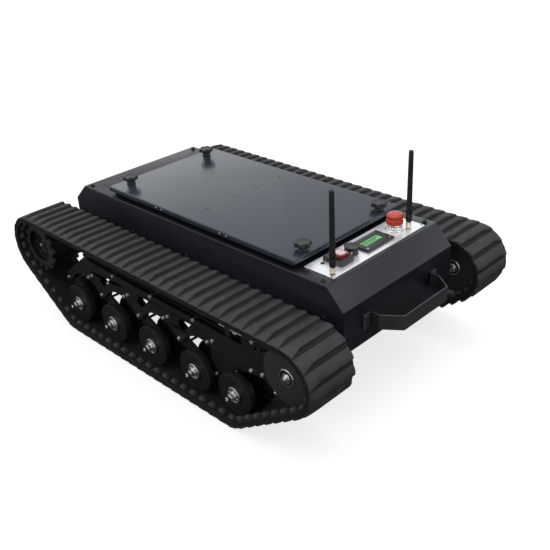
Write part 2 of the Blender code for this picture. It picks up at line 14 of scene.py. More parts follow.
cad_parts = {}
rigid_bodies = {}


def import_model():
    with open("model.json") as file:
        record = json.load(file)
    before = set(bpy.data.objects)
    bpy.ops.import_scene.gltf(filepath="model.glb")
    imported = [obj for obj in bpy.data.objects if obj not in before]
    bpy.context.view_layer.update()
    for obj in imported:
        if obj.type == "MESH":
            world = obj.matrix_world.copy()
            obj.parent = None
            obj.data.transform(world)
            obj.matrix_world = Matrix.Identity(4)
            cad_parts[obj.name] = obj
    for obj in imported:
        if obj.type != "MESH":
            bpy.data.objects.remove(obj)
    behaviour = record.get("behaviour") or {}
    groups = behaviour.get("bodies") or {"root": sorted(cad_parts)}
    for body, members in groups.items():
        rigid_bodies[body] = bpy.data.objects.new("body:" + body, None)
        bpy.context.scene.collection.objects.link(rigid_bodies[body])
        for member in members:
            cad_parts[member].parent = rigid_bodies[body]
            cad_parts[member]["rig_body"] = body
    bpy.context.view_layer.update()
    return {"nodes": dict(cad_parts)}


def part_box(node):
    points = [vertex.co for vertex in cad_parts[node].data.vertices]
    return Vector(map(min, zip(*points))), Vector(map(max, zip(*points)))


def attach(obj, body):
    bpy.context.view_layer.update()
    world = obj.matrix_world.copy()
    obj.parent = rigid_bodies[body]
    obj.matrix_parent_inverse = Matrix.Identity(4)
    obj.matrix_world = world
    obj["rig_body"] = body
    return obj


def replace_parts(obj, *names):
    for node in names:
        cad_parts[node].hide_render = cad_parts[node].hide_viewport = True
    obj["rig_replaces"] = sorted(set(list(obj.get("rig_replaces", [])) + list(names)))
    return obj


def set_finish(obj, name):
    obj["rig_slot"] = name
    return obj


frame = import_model()

MM = 0.001
UP = Vector((0.0, 0.0, 1.0))
OUT = Vector((0.0, 1.0, 0.0))
AHEAD = Vector((1.0, 0.0, 0.0))
SIDES = (("right", -1.0), ("left", 1.0))

# camera
CAMERA_AT = (1.34308, -1.20562, 1.12251)
CAMERA_RIGHT = (0.71553, 0.69682, -0.04967)
CAMERA_UP = (-0.30706, 0.37758, 0.87359)
CAMERA_BACK = (0.62749, -0.60982, 0.48413)
CAMERA_LENS = 50.37

# hull
DECK_Z = 344.0
LID_HOLES_Y = (134.0, 50.0, -27.0, -115.0)

# running gear
TRACK_Y = 295.0
CARCASS = 14.0
LUG_TOP = 19.9
LUG_PITCH = 33.6
WHEEL_R = 52.6
SPROCKET_TIP_R = 71.8
SPROCKET_ROOT_R = 60.5
SPROCKET_TEETH = 14
IDLER_R = 66.0
ARCH_R = 77.0
PLATES_Y = ((285.0, 289.0), (301.0, 305.0))
BUFFER_Y = 273.0


def box_mm(node):
    lo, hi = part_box(node)
    return lo / MM, hi / MM


def mid(node):
    lo, hi = box_mm(node)
    return (lo + hi) * 0.5


WHEELS = [mid("road_wheel_%d_left" % (i + 1)) for i in range(5)]
SPROCKET = mid("drive_sprocket_left")
IDLER = mid("idler_wheel_left")
PIVOTS = [(w.x - 80.0, 116.0) for w in WHEELS[:4]] + [(205.0, 74.0)]


# ------------------------------------------------------------------ materials

def link(tree, a, b):
    tree.links.new(a, b)


def noise(tree, coords, scale, detail, stretch=None):
    """A noise value, optionally stretched along one axis."""
    if stretch is not None:
        mapping = tree.nodes.new("ShaderNodeMapping")
        mapping.inputs["Scale"].default_value = stretch
        link(tree, coords, mapping.inputs["Vector"])
        coords = mapping.outputs["Vector"]
    node = tree.nodes.new("ShaderNodeTexNoise")
    node.inputs["Scale"].default_value = scale
    node.inputs["Detail"].default_value = detail
    link(tree, coords, node.inputs["Vector"])
    return node.outputs["Fac"]


def remap(tree, value, lo, hi, to_lo, to_hi):
    node = tree.nodes.new("ShaderNodeMapRange")
    node.inputs["From Min"].default_value = lo
    node.inputs["From Max"].default_value = hi
    node.inputs["To Min"].default_value = to_lo
    node.inputs["To Max"].default_value = to_hi
    link(tree, value, node.inputs["Value"])
    return node.outputs["Result"]


def mix_colour(tree, factor, a, b):
    node = tree.nodes.new("ShaderNodeMix")
    node.data_type = "RGBA"
    link(tree, factor, node.inputs["Factor"])
    for socket, value in ((node.inputs[6], a), (node.inputs[7], b)):
        if isinstance(value, tuple):
            socket.default_value = (*value, 1.0)
        else:
            link(tree, value, socket)
    return node.outputs[2]


def finish(name, colour, other, roughness, metallic=0.0, tone=12.0, spread=0.08, grain=700.0,
        depth=0.05, strength=0.35, stretch=None, edge_wear_and_highlight=None, rings=0.0, coat=0.0, specular=0.5,
        glow=None, clear=0.0):
    """A surface whose colour drifts to another, with uneven gloss, fine relief and edges lightened
    partly by wear and partly by a painted highlight.

    tone and grain are pattern scales per metre; depth is the relief in millimetres; rings adds
    turned marks about the piece's own Y axis.
    """
    mat = bpy.data.materials.new(name)
    mat.use_nodes = True
    tree = mat.node_tree
    bsdf = tree.nodes["Principled BSDF"]
    coords = tree.nodes.new("ShaderNodeTexCoord").outputs["Object"]
    patches = remap(tree, noise(tree, coords, tone, 5.0, stretch), 0.34, 0.68, 0.0, 1.0)
    base = mix_colour(tree, patches, colour, other)
    # sharp edges, found by pointiness, take a lighter colour: partly edge wear, partly a painted
    # highlight on the bevels
    if edge_wear_and_highlight is not None:
        point = tree.nodes.new("ShaderNodeNewGeometry").outputs["Pointiness"]
        base = mix_colour(tree, remap(tree, point, 0.52, 0.62, 0.0, 0.55), base, edge_wear_and_highlight)
    link(tree, base, bsdf.inputs["Base Color"])
    uneven = noise(tree, coords, tone * 3.1, 6.0, stretch)
    gloss = remap(tree, uneven, 0.3, 0.7, roughness - spread, roughness + spread)
    link(tree, gloss, bsdf.inputs["Roughness"])
    relief = noise(tree, coords, grain, 3.0, stretch)
    if rings > 0.0:
        wave = tree.nodes.new("ShaderNodeTexWave")
        wave.wave_type = "RINGS"
        wave.rings_direction = "Y"
        wave.inputs["Scale"].default_value = rings
        wave.inputs["Distortion"].default_value = 0.6
        link(tree, coords, wave.inputs["Vector"])
        add = tree.nodes.new("ShaderNodeMath")
        link(tree, wave.outputs["Fac"], add.inputs[0])
        link(tree, relief, add.inputs[1])
        relief = add.outputs[0]
    bump = tree.nodes.new("ShaderNodeBump")
    bump.inputs["Strength"].default_value = strength
    bump.inputs["Distance"].default_value = depth * MM
    link(tree, relief, bump.inputs["Height"])
    link(tree, bump.outputs["Normal"], bsdf.inputs["Normal"])
    bsdf.inputs["Metallic"].default_value = metallic
    bsdf.inputs["Coat Weight"].default_value = coat
    bsdf.inputs["Coat Roughness"].default_value = 0.12
    bsdf.inputs["Specular IOR Level"].default_value = specular
    bsdf.inputs["Transmission Weight"].default_value = clear
    if glow is not None:
        bsdf.inputs["Emission Color"].default_value = (*glow, 1.0)
        bsdf.inputs["Emission Strength"].default_value = 0.35
    return mat


# the edge colours below lighten sharp edges: partly wear, partly a painted highlight
PAINT = finish("satin_black_paint", (0.0030, 0.0038, 0.0062), (0.0044, 0.0053, 0.0084), 0.30,
    tone=5.0, spread=0.03, grain=1500.0, depth=0.03, strength=0.25, edge_wear_and_highlight=(0.035, 0.040, 0.048),
    specular=0.36)
LID_PAINT = finish("slate_black_paint", (0.007, 0.012, 0.023), (0.010, 0.016, 0.030), 0.20,
    tone=3.0, spread=0.03, grain=1400.0, depth=0.01, strength=0.15, edge_wear_and_highlight=(0.05, 0.06, 0.07),
    specular=0.50)
PLATE = finish("anodised_plate_black", (0.006, 0.006, 0.006), (0.010, 0.010, 0.009), 0.42,
    tone=14.0, spread=0.06, grain=1800.0, depth=0.02, edge_wear_and_highlight=(0.06, 0.06, 0.06), specular=0.30)
RUBBER = finish("track_rubber_black", (0.018, 0.018, 0.019), (0.030, 0.030, 0.031), 0.60, tone=26.0,
    spread=0.09, grain=420.0, depth=0.22, strength=0.55, edge_wear_and_highlight=(0.055, 0.055, 0.057), specular=0.26)
# darker rubber for the gasket and bearing seals; on the belt carcass it is painted shade in the
# grooves between the lugs
SEAL_AND_GROOVE_SHADE = finish("seal_rubber_and_groove_shade", (0.006, 0.006, 0.006), (0.010, 0.010, 0.010), 0.7, tone=30.0,
    grain=900.0, depth=0.1, specular=0.2)
NYLON = finish("wheel_nylon_black", (0.004, 0.004, 0.005), (0.007, 0.007, 0.008), 0.46, tone=18.0,
    spread=0.06, grain=900.0, depth=0.03, rings=60.0, edge_wear_and_highlight=(0.04, 0.04, 0.04), specular=0.18)
GREY = finish("idler_grey_paint", (0.014, 0.015, 0.014), (0.020, 0.021, 0.020), 0.42, tone=16.0,
    spread=0.06, grain=1200.0, depth=0.03, rings=60.0, edge_wear_and_highlight=(0.07, 0.07, 0.07), specular=0.36)
BAR = finish("bar_black_coat", (0.009, 0.009, 0.010), (0.013, 0.013, 0.014), 0.28, tone=10.0,
    spread=0.05, grain=1300.0, depth=0.02, edge_wear_and_highlight=(0.14, 0.145, 0.15))
STEEL = finish("zinc_plated_steel", (0.50, 0.49, 0.46), (0.62, 0.61, 0.58), 0.26, 1.0, tone=40.0,
    spread=0.06, grain=2500.0, depth=0.006, strength=0.2)
TURNED = finish("turned_steel", (0.50, 0.49, 0.47), (0.60, 0.59, 0.57), 0.24, 1.0, tone=30.0,
    spread=0.04, grain=1500.0, depth=0.006, strength=0.2, rings=320.0)
ALU = finish("motor_aluminium", (0.10, 0.10, 0.11), (0.14, 0.14, 0.15), 0.42, 0.9, tone=25.0,
    grain=1500.0, depth=0.03)
BRUSHED = finish("brushed_panel_steel", (0.86, 0.87, 0.88), (0.93, 0.94, 0.95), 0.36, 0.80,
    tone=14.0, spread=0.07, grain=60.0, depth=0.02, stretch=(40.0, 1.5, 1.0))
PLASTIC = finish("moulded_black_plastic", (0.006, 0.006, 0.007), (0.010, 0.010, 0.011), 0.38,
    tone=20.0, spread=0.05, grain=2200.0, depth=0.04, edge_wear_and_highlight=(0.04, 0.04, 0.04), specular=0.4)
RED = finish("stop_red_plastic", (0.38, 0.018, 0.008), (0.46, 0.028, 0.012), 0.28, tone=30.0,
    spread=0.05, grain=900.0, depth=0.02, coat=0.15)
ROCKER_RED = finish("rocker_red_plastic", (0.17, 0.011, 0.010), (0.22, 0.018, 0.015), 0.26,
    tone=30.0, spread=0.04, grain=900.0, depth=0.02, coat=0.2)
LENS = finish("rocker_lens", (0.50, 0.36, 0.37), (0.56, 0.42, 0.43), 0.18, tone=60.0, spread=0.03,
    grain=900.0, depth=0.02, coat=0.4)
CHROME = finish("bright_chrome", (0.66, 0.65, 0.63), (0.74, 0.73, 0.71), 0.14, 1.0, tone=40.0,
    spread=0.04, grain=1200.0, depth=0.01, strength=0.1)
BRASS = finish("pale_gold_plate", (0.62, 0.56, 0.44), (0.70, 0.64, 0.52), 0.26, 1.0, tone=80.0,
    spread=0.06, grain=2000.0, depth=0.01)
WHIP = finish("antenna_sleeve", (0.006, 0.006, 0.008), (0.010, 0.010, 0.012), 0.48, tone=30.0,
    grain=1600.0, depth=0.05, specular=0.35)
LCD = finish("meter_green", (0.10, 0.34, 0.10), (0.13, 0.40, 0.13), 0.25, tone=50.0, spread=0.05,
    grain=900.0, depth=0.01, coat=0.4, glow=(0.10, 0.30, 0.10))
LCD_DARK = finish("meter_segment", (0.02, 0.10, 0.03), (0.03, 0.13, 0.04), 0.25, tone=50.0,
    spread=0.05, grain=900.0, depth=0.01)
WRAP = finish("battery_wrap", (0.015, 0.05, 0.20), (0.02, 0.07, 0.26), 0.32, tone=8.0, spread=0.08,
    grain=60.0, depth=0.6, strength=0.4, coat=0.4)
STRAP = finish("woven_strap", (0.02, 0.02, 0.02), (0.035, 0.035, 0.035), 0.8, tone=200.0,
    grain=1200.0, depth=0.3, strength=0.8)


# ------------------------------------------------------------------ mesh helpers

def circle(cx, cy, radius, count=24, start=0.0):
    step = 2.0 * math.pi / count
    return [(cx + radius * math.cos(start + i * step),
        cy + radius * math.sin(start + i * step)) for i in range(count)]


def arc(cx, cz, radius, deg0, deg1, count):
    out = []
    for i in range(count + 1):
        a = math.radians(deg0 + (deg1 - deg0) * i / count)
        out.append((cx + radius * math.cos(a), cz + radius * math.sin(a)))
    return out


def rounded(x0, x1, y0, y1, r, seg=4):
    """A rectangle with rounded corners."""
    out = []
    for cx, cy, a in ((x1 - r, y1 - r, 0), (x0 + r, y1 - r, 90), (x0 + r, y0 + r, 180),
            (x1 - r, y0 + r, 270)):
        out += arc(cx, cy, r, a, a + 90, seg)
    return out


def fillet(points, radius, seg=5):
    """An open line of points with its inner corners rounded."""
    out = [points[0]]
    for a, b, c in zip(points, points[1:], points[2:]):
        a, b, c = Vector(a), Vector(b), Vector(c)
        one, two = (a - b).normalized(), (c - b).normalized()
        half = 0.5 * one.angle(two)
        cut = radius / math.tan(half)
        start, end = b + one * cut, b + two * cut
        for i in range(seg + 1):
            t = i / seg
            out.append(tuple(start.lerp(b, t).lerp(b.lerp(end, t), t)))
    out.append(points[-1])
    return out


def at_axis(axis, p, t):
    if axis == "y":
        return Vector((p[0], t, p[1]))
    if axis == "x":
        return Vector((t, p[0], p[1]))
    return Vector((p[0], p[1], t))


def skin(bm, loops, m=0, closed=False, caps=True):
    """Join loops of equal length, given as lists of 3-D points, into a surface."""
    rings = [[bm.verts.new(Vector(p) * MM) for p in loop] for loop in loops]
    faces = []
    pairs = list(zip(rings, rings[1:]))
    if closed:
        pairs.append((rings[-1], rings[0]))
    for one, two in pairs:
        for i in range(len(one)):
            j = (i + 1) % len(one)
            faces.append(bm.faces.new((one[i], one[j], two[j], two[i])))
    if caps and not closed:
        faces.append(bm.faces.new(rings[0]))
        faces.append(bm.faces.new(rings[-1]))
    for face in faces:
        face.material_index = m


def sheet(bm, levels, holes=(), axis="z", m=0):
    """A plate built from outline levels (height, outline), with holes through it."""
    outline = [[bm.verts.new(at_axis(axis, p, t) * MM) for p in loop] for t, loop in levels]
    lo, hi = levels[0][0], levels[-1][0]
    inner_lo = [[bm.verts.new(at_axis(axis, p, lo) * MM) for p in loop] for loop in holes]
    inner_hi = [[bm.verts.new(at_axis(axis, p, hi) * MM) for p in loop] for loop in holes]
    faces = []
    for loop, verts, inner in ((levels[0][1], outline[0], inner_lo), (levels[-1][1], outline[-1],
            inner_hi)):
        flat = [[Vector((p[0], p[1], 0.0)) for p in one] for one in [loop, *holes]]
        every = list(verts) + [v for ring in inner for v in ring]
        if not holes:
            faces.append(bm.faces.new(verts))
            continue
        for a, b, c in tessellate_polygon(flat):
            faces.append(bm.faces.new((every[a], every[b], every[c])))
    walls = list(zip(outline, outline[1:])) + list(zip(inner_lo, inner_hi))
    for one, two in walls:
        for i in range(len(one)):
            j = (i + 1) % len(one)
            faces.append(bm.faces.new((one[i], one[j], two[j], two[i])))
    for face in faces:
        face.material_index = m


def prism(bm, loop, lo, hi, axis="y", holes=(), m=0):
    sheet(bm, [(lo, loop), (hi, loop)], holes, axis, m)


def slab(bm, x0, x1, y0, y1, r, levels, holes=(), m=0, axis="z"):
    """A rounded rectangle stacked through levels of (height, inset)."""
    loops = []
    for t, inset in levels:
        loops.append((t, rounded(x0 + inset, x1 - inset, y0 + inset, y1 - inset,
            max(r - inset, 0.3))))
    sheet(bm, loops, holes, axis, m)


def lathe(bm, profile, origin=(0.0, 0.0, 0.0), axis=OUT, count=32, m=0, phase=0.0):
    """Turn (radius, along) pairs about an axis; a third value makes that ring a polygon."""
    axis = Vector(axis).normalized()
    u = axis.orthogonal().normalized()
    v = axis.cross(u)
    origin = Vector(origin)
    rings = []
    for entry in profile:
        radius, along = entry[0], entry[1]
        ring = []
        for i in range(1 if radius < 1e-6 else count):
            a = phase + 2.0 * math.pi * i / count
            r = radius
            if len(entry) > 2:
                half = math.pi / entry[2]
                r = radius * math.cos(half) / math.cos((a % (2.0 * half)) - half)
            spoke = (u * math.cos(a) + v * math.sin(a)) * r
            ring.append(bm.verts.new((origin + axis * along + spoke) * MM))
        rings.append(ring)
    for one, two in zip(rings, rings[1:]):
        for i in range(count):
            j = (i + 1) % count
            corners = [one[i % len(one)], one[j % len(one)], two[j % len(two)], two[i % len(two)]]
            corners = list(dict.fromkeys(corners))
            if len(corners) > 2:
                bm.faces.new(corners).material_index = m


def rod(bm, radius, lo, hi, origin, axis, count=32, m=0):
    """A plain round bar between two places along an axis."""
    lathe(bm, [(0.0, lo), (radius, lo), (radius, hi), (0.0, hi)], origin, axis, count, m)


def bolt(bm, origin, axis, radius=5.0, height=4.0, m=0, washer=True):
    """A socket-head cap screw with a six-sided recess, on a thin washer."""
    base = 0.0
    if washer:
        base = 0.8
        rod(bm, radius * 1.25, 0.0, base, origin, axis, 24, m)
    top = base + height
    lathe(bm, [(0.0, base), (radius, base), (radius, top - 0.5), (radius - 0.5, top),
        (radius * 0.55, top, 6), (radius * 0.52, top - 0.55 * height, 6),
        (0.0, top - 0.6 * height)], origin, axis, 24, m)


def piece(name, bm, mats, body, slot, replaces=(), bevel=0.0, segments=2, angle=32.0, sign=1.0,
        at=None):
    """Turn a bmesh into a named piece that rides on a body; sign -1 mirrors it in y."""
    if sign < 0.0:
        bmesh.ops.transform(bm, matrix=Matrix.Scale(-1.0, 4, OUT), verts=bm.verts)
    bmesh.ops.remove_doubles(bm, verts=bm.verts, dist=2e-6)
    bmesh.ops.recalc_face_normals(bm, faces=bm.faces)
    mesh = bpy.data.meshes.new(name)
    bm.to_mesh(mesh)
    bm.free()
    for mat in mats:
        mesh.materials.append(mat)
    mesh.shade_smooth()
    obj = bpy.data.objects.new(name, mesh)
    bpy.context.scene.collection.objects.link(obj)
    if bevel > 0.0:
        mod = obj.modifiers.new("edge_round", "BEVEL")
        mod.width = bevel * MM
        mod.segments = segments
        mod.limit_method = "ANGLE"
        mod.angle_limit = math.radians(angle)
        mod.harden_normals = True
    else:
        mesh.set_sharp_from_angle(angle=math.radians(angle))
    return settle(obj, body, slot, replaces, at, sign)


def settle(obj, body, slot, replaces=(), at=None, sign=1.0):
    if at is not None:
        obj.location = Vector((at[0], sign * at[1], at[2])) * MM
    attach(obj, body)
    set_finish(obj, slot)
    if replaces:
        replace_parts(obj, *replaces)
    return obj


def again(obj, name, body, slot, replaces=(), at=None, sign=1.0):
    """Another piece with the same mesh and modifiers, at another place."""
    twin = obj.copy()
    twin.name = name
    bpy.context.scene.collection.objects.link(twin)
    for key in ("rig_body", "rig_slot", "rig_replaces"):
        if key in twin:
            del twin[key]
    return settle(twin, body, slot, replaces, at, sign)


def dress(node, mat, bevel=0.0, segments=2):
    """Give a carried-over CAD node its finish and softened edges."""
    obj = frame["nodes"][node]
    obj.data.materials.clear()
    obj.data.materials.append(mat)
    weld = obj.modifiers.new("weld", "WELD")
    weld.merge_threshold = 2e-6
    if bevel > 0.0:
        mod = obj.modifiers.new("edge_round", "BEVEL")
        mod.width = bevel * MM
        mod.segments = segments
        mod.limit_method = "ANGLE"
        mod.angle_limit = math.radians(32.0)
        mod.harden_normals = True
    obj.data.shade_smooth()


# ------------------------------------------------------------------ tracks

def belt_path():
    """The belt's inner face: circles with clearance and the straight runs between them."""
    circles = [(SPROCKET.x, SPROCKET.z, 73.0), (IDLER.x, IDLER.z, IDLER_R + 0.4), (WHEELS[4].x,
        WHEELS[4].z, WHEEL_R + 0.4), (WHEELS[0].x, WHEELS[0].z, WHEEL_R + 0.4)]
    tangents = []
    for one, two in zip(circles, circles[1:] + circles[:1]):
        dx, dz = two[0] - one[0], two[1] - one[1]
        turn = math.acos((one[2] - two[2]) / math.hypot(dx, dz))
        tangents.append(math.atan2(dz, dx) + turn)
    runs = []
    for i, (cx, cz, r) in enumerate(circles):
        start, end = tangents[i - 1], tangents[i]
        while start < end:
            start += 2.0 * math.pi
        runs.append((cx, cz, r, start, end, None, (r + 0.5 * CARCASS) * (start - end)))
        nx, nz, nr = circles[(i + 1) % 4]
        p0 = Vector((cx + r * math.cos(end), cz + r * math.sin(end)))
        p1 = Vector((nx + nr * math.cos(end), nz + nr * math.sin(end)))
        runs.append((p0.x, p0.y, 0.0, end, end, p1 - p0, (p1 - p0).length))
    return runs


BELT = belt_path()
BELT_LENGTH = sum(run[6] for run in BELT)
LUGS = round(BELT_LENGTH / LUG_PITCH)
PITCH = BELT_LENGTH / LUGS


def belt_point(s):
    """Inner-face point, outward normal and forward tangent at a length along the belt."""
    s = s % BELT_LENGTH
    for x, z, r, start, end, step, length in BELT:
        if s <= length:
            break
        s -= length
    a = start + (end - start) * s / length
    n = Vector((math.cos(a), 0.0, math.sin(a)))
    p = Vector((x, 0.0, z)) + n * r
    if step is not None:
        p += Vector((step.x, 0.0, step.y)) * (s / length)
    return p, n, Vector((n.z, 0.0, -n.x))


def build_belt(side, sign):
    bm = bmesh.new()
    section = [(231.0, 0.0), (359.0, 0.0), (360.0, 1.0), (360.0, 10.6), (361.0, 11.4),
        (361.0, 13.2), (360.2, CARCASS), (229.8, CARCASS), (229.0, 13.2), (229.0, 11.4),
        (230.0, 10.6), (230.0, 1.0)]
    loops = []
    for k in range(LUGS * 6):
        p, n, t = belt_point(k * PITCH / 6.0)
        loops.append([p + n * depth + OUT * y for y, depth in section])
    # the carcass, seen in the grooves between the lugs, takes the darker seal rubber as painted
    # shade in the grooves
    skin(bm, loops, m=1, closed=True)
    # a tread lug is a low sawtooth that rises gently at the back and drops steeply at the front;
    # its outer end spreads forward as a wedge
    shape = [(-0.43, 12.5), (-0.41, 14.1), (-0.31, 15.2), (-0.20, 17.2), (-0.08, 18.8),
        (0.05, 19.6), (0.17, LUG_TOP), (0.235, 19.5), (0.265, 18.2), (0.285, 12.5)]
    flare = [(230.0, 0.0, 1.2), (231.2, 0.0, 0.2), (233.0, 0.0, 0.0), (280.0, 0.0, 0.0),
        (328.0, 0.0, 0.0), (336.0, 0.05, 0.3), (346.0, 0.14, 1.1), (356.0, 0.22, 2.3),
        (359.4, 0.25, 2.9), (360.6, 0.26, 3.8)]
    for k in range(LUGS):
        loops = []
        for y, reach, drop in flare:
            loop = []
            for along, height in shape:
                if along > 0.0:
                    along += reach
                if height > CARCASS:
                    height = max(height - drop, CARCASS + 0.1)
                p, n, t = belt_point((k + 0.30 + along) * PITCH)
                loop.append(p + n * height + OUT * y)
            loops.append(loop)
        skin(bm, loops)
    # drive teeth on the inner face, one row each side of the wheels
    for k in range(LUGS):
        p, n, t = belt_point((k + 0.80) * PITCH)
        for y0, y1 in ((238.0, 248.0), (342.5, 352.5)):
            loops = []
            for depth, half, inset in ((1.5, 9.5, 0.0), (-5.6, 7.0, 0.4), (-8.2, 5.2, 1.6)):
                loops.append([p + t * a + n * depth + OUT * y for a, y in ((-half, y0 + inset),
                    (half, y0 + inset), (half, y1 - inset), (-half, y1 - inset))])
            skin(bm, loops)
    piece("rubber_track_" + side, bm, [RUBBER, SEAL_AND_GROOVE_SHADE], "chassis", "track_rubber",
        ["track_belt_" + side], angle=30.0, sign=sign)


# ------------------------------------------------------------------ side frames

def plate_outline():
    w = [wheel.x for wheel in WHEELS]
    pts = [(-310.0, 203.0), (-352.0, 170.0), (-408.0, 128.0)]
    pts += arc(PIVOTS[0][0], 114.5, 11.0, 150.0, 310.0, 8)
    for i in range(4):
        left = 149.0 if i == 0 else 151.0
        right = 29.0 if i < 3 else 62.0
        pts += arc(w[i], WHEELS[i].z, ARCH_R, left, right, 26)
        if i < 3:
            px, pz = PIVOTS[i + 1]
            pts += arc(px, pz, 11.5, 222.0, 318.0, 6)
    pts += [(193.0, 120.0), (192.0, 76.0)] + arc(205.0, 74.0, 13.0, 190.0, 330.0, 8)
    pts += [(242.0, 93.0), (266.0, 110.0), (314.0, 130.0), (372.0, 135.0), (424.0, 166.0)]
    pts += arc(IDLER.x, IDLER.z, 40.0, -100.0, 60.0, 20)
    pts += [(430.0, 254.0), (306.0, 252.0), (300.0, 193.0)]
    return pts


def slot_hole(x, z, length, width, tilt):
    along = Vector((math.cos(math.radians(tilt)), math.sin(math.radians(tilt))))
    pts = arc(length * 0.5, 0.0, width, -90.0, 90.0, 5)
    pts += arc(-length * 0.5, 0.0, width, 90.0, 270.0, 5)
    return [(x + u * along.x - v * along.y, z + u * along.y + v * along.x) for u, v in pts]


def plate_holes():
    holes = []
    for i, wheel in enumerate(WHEELS[1:4]):
        x, drop = wheel.x, 1.5 * i
        holes.append([(x - 70.0, 178.0 - drop), (x - 78.0, 156.0 - drop), (x - 66.0, 147.0 - drop),
            (x - 50.0, 155.0 - drop), (x - 28.0, 180.0 - 1.2 * drop)])
    for x, z in ((-304.0, 187.0), (-159.0, 184.0), (-61.0, 189.0), (229.0, 132.0)):
        holes.append(circle(x, z, 2.6, 16))
    for x in (344.0, 361.0):
        holes.append(slot_hole(x, 204.0, 8.0, 2.0, 62.0))
    return holes


GUARD_RAIL = [(-352.0, 176.0), (-330.0, 162.0), (296.0, 156.0), (296.0, 205.0), (-344.0, 207.0)]
GUARD_RAIL_Y = (250.0, 253.5)


def plate_bolts():
    """Bolt positions on the side frame: arm pivots, spring pins and spacers."""
    spots = [(px, pz) for px, pz in PIVOTS]
    for wheel in WHEELS[:4]:
        spots += [(wheel.x + 44.0, 162.0), (wheel.x + 26.0, 151.5)]
    spots += [(326.0, 139.0), (361.0, 144.0), (-173.0, 196.0), (-18.0, 195.0), (140.0, 192.0),
        (335.0, 217.0), (-200.0, 166.0)]
    return spots


def build_side_frame(side, sign):
    for (lo, hi), where in zip(PLATES_Y, ("inner", "outer")):
        bm = bmesh.new()
        prism(bm, plate_outline(), lo, hi, holes=plate_holes())
        piece("side_plate_%s_%s" % (where, side), bm, [PLATE], "chassis", "anodised_plate",
            ["frame_plate_%s_%s" % (where, side)], bevel=0.5, sign=sign)

    bm = bmesh.new()
    for x, z in plate_bolts():
        if (x, z) in PIVOTS:
            continue
        bolt(bm, (x, PLATES_Y[1][1], z), OUT, 4.6, 3.4)
        bolt(bm, (x, PLATES_Y[0][0], z), -OUT, 4.6, 3.4)
    piece("plate_screws_" + side, bm, [STEEL], "chassis", "zinc_steel", sign=sign)

    bm = bmesh.new()
    lo, hi = PLATES_Y[0][1], PLATES_Y[1][0]
    for x, z in plate_bolts():
        if (x, z) not in PIVOTS and x < 300.0:
            rod(bm, 6.5, lo, hi, (x, 0.0, z), OUT, 20)
    slab(bm, 244.0, 258.0, 180.0, 224.0, 1.0, [(lo, 0.0), (hi - 0.4, 0.0)], axis="y")
    piece("plate_spacers_" + side, bm, [PLATE], "chassis", "anodised_plate", bevel=0.3, sign=sign)

    # upright rail behind the inner plate, under the top run
    bm = bmesh.new()
    prism(bm, GUARD_RAIL, *GUARD_RAIL_Y)
    piece("guard_rail_" + side, bm, [PLATE], "chassis", "anodised_plate", bevel=0.4, sign=sign)


def build_suspension(side, sign):
    """Swing arms with their pivot bolts, and a bump buffer over each of the first four."""
    lo, hi = PLATES_Y[0][1] + 1.3, PLATES_Y[1][0] - 1.3
    for i, wheel in enumerate(WHEELS):
        px, pz = PIVOTS[i]
        number = i + 1
        body = "arm_%d_%s" % (number, side)
        tilt = math.degrees(math.atan2(wheel.z - pz, wheel.x - px))
        outline = arc(px, pz, 12.5, tilt + 100.0, tilt + 260.0, 12)
        outline += arc(wheel.x, wheel.z, 17.0, tilt - 95.0, tilt + 95.0, 16)
        bm = bmesh.new()
        prism(bm, outline, lo, hi, holes=[circle(wheel.x, wheel.z, 8.9, 28)])
        piece("swing_link_%d_%s" % (number, side), bm, [PLATE], body, "zinc_steel",
            ["swing_arm_%d_%s" % (number, side)], bevel=0.8, sign=sign)
        bm = bmesh.new()
        rod(bm, 5.6, lo - 3.0, hi + 3.0, (px, 0.0, pz), OUT, 20)
        bolt(bm, (px, PLATES_Y[1][1] + 0.2, pz), OUT, 4.8, 3.2)
        bolt(bm, (px, PLATES_Y[0][0] - 0.2, pz), -OUT, 4.8, 3.2)
        piece("pivot_bolt_%d_%s" % (number, side), bm, [STEEL], body, "zinc_steel", sign=sign)
        if i == 4:
            continue
        foot = Vector((wheel.x - 58.0, BUFFER_Y, 112.0))
        head = Vector((wheel.x - 15.0, BUFFER_Y, 200.0))
        up = (head - foot).normalized()
        reach = (head - foot).length
        bm = bmesh.new()
        rod(bm, 3.4, -6.0, hi - BUFFER_Y, foot, OUT, 16)
        piece("buffer_pin_%d_%s" % (number, side), bm, [ALU], body, "zinc_steel", sign=sign)
        bm = bmesh.new()
        tube = [(5.4, reach - 14.0), (5.4, 29.0), (6.4, 28.0), (8.2, 28.0), (9.0, 29.0)]
        for turn in range(9):
            along = 32.0 + turn * 5.0
            tube += [(9.0, along), (8.2, along + 1.0), (8.2, along + 2.4), (9.0, along + 3.4)]
        tube += [(9.0, reach - 12.0), (6.0, reach - 7.0), (6.0, reach), (0.0, reach + 1.0)]
        lathe(bm, [(0.0, reach - 14.0)] + tube, foot, up, 28)
        lathe(bm, [(0.0, 13.0), (3.0, 13.0), (3.6, 14.0), (3.6, reach - 13.0), (0.0, reach - 13.0)],
            foot, up, 16)
        rod(bm, 4.0, -8.0, 12.4, head - up * 5.0, OUT, 16)
        piece("buffer_tube_%d_%s" % (number, side), bm, [ALU], "chassis", "zinc_steel", sign=sign)


# ------------------------------------------------------------------ wheels

def local(profile):
    """A profile given in |y| brought to the wheel's own origin."""
    return [(entry[0], entry[1] - TRACK_Y, *entry[2:]) for entry in profile]


